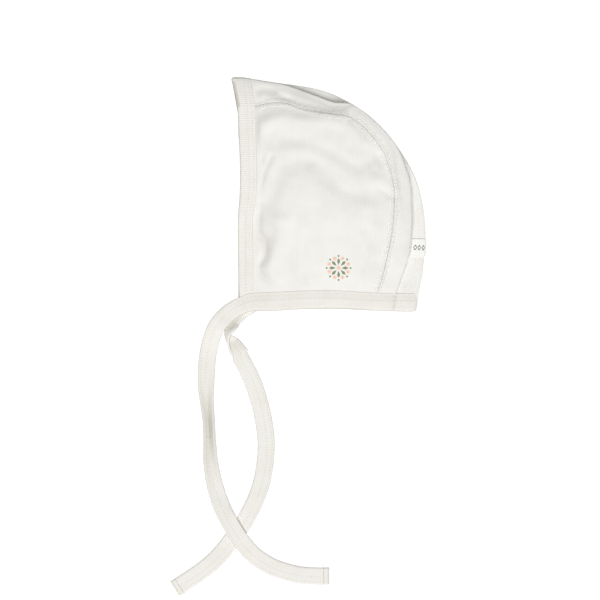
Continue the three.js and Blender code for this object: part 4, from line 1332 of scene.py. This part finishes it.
def dot(radius, angle, out):
    s = np.linspace(0, 2 * math.pi, 16, endpoint=False)
    return turned([(radius * math.cos(q), radius * math.sin(q)) for q in s], angle, out)


def spokes(start=0.0):
    return [start + 2 * math.pi * k / SPOKES for k in range(SPOKES)]


green = [kite(5.4, 2.5, q, 4.9) for q in spokes()]
green += [dot(0.75, q, 9.3) for q in spokes()]
pink = [dot(1.4, q, 7.9) for q in spokes(math.pi / SPOKES)]
pink += [dot(1.5, 0.0, 0.0)]
print_green = piece("print_green", *decal_mesh(green), leaf_ink, "panel_left")
print_pink = piece("print_pink", *decal_mesh(pink), petal_ink, "panel_left")


# Table, light and camera
floor_mesh = bpy.data.meshes.new("table")
floor_mesh.from_pydata([(-2, -2, 0), (2, -2, 0), (2, 2, 0), (-2, 2, 0)], [], [(0, 1, 2, 3)])
floor = bpy.data.objects.new("table", floor_mesh)
bpy.context.collection.objects.link(floor)
floor.location.z = -0.0001
floor_material, _, floor_shader = shader("table_white", (0.10, 0.10, 0.10), 0.9)
floor_shader.inputs["Emission Color"].default_value = (1, 1, 1, 1)
floor_shader.inputs["Emission Strength"].default_value = 1.0
floor_mesh.materials.append(floor_material)

scene = bpy.context.scene
scene.view_settings.view_transform = "Standard"
world = bpy.data.worlds.new("studio")
scene.world = world
world.use_nodes = True
world.node_tree.nodes["Background"].inputs["Color"].default_value = (1, 0.99, 0.97, 1)
world.node_tree.nodes["Background"].inputs["Strength"].default_value = 0.20


def sun(name, azimuth, elevation, energy, spread):
    """A soft lamp that shines from an azimuth, counted from +X towards +Y, at an elevation in degrees."""
    lamp = bpy.data.lights.new(name, "SUN")
    lamp.energy = energy
    lamp.angle = math.radians(spread)
    made = bpy.data.objects.new(name, lamp)
    a, e = math.radians(azimuth), math.radians(elevation)
    from_ = Vector((math.cos(a) * math.cos(e), math.sin(a) * math.cos(e), math.sin(e)))
    made.rotation_mode = "QUATERNION"
    made.rotation_quaternion = from_.to_track_quat("Z", "Y")
    bpy.context.collection.objects.link(made)


sun("soft_top", 272, 72, 2.95, 45)

# The picture's side and middle in pixels, the pixel at the zero point of the tables, and a pixel's size in mm
PICTURE_SIDE, PICTURE_MIDDLE = 600, 299.5
ZERO_COLUMN, ZERO_ROW = 327.5, 192.5
PIXEL = 0.78
CAMERA_HEIGHT = 5.0
view_centre = place([(PICTURE_MIDDLE - ZERO_COLUMN) * PIXEL, (ZERO_ROW - PICTURE_MIDDLE) * PIXEL, 0])
camera_data = bpy.data.cameras.new("camera")
camera_data.sensor_width = 36
camera_data.lens = camera_data.sensor_width * CAMERA_HEIGHT / (PICTURE_SIDE * PIXEL * METRE)
camera_data.clip_end = 20
camera = bpy.data.objects.new("camera", camera_data)
camera.location = (view_centre[0], view_centre[1], CAMERA_HEIGHT)
bpy.context.collection.objects.link(camera)
scene.camera = camera
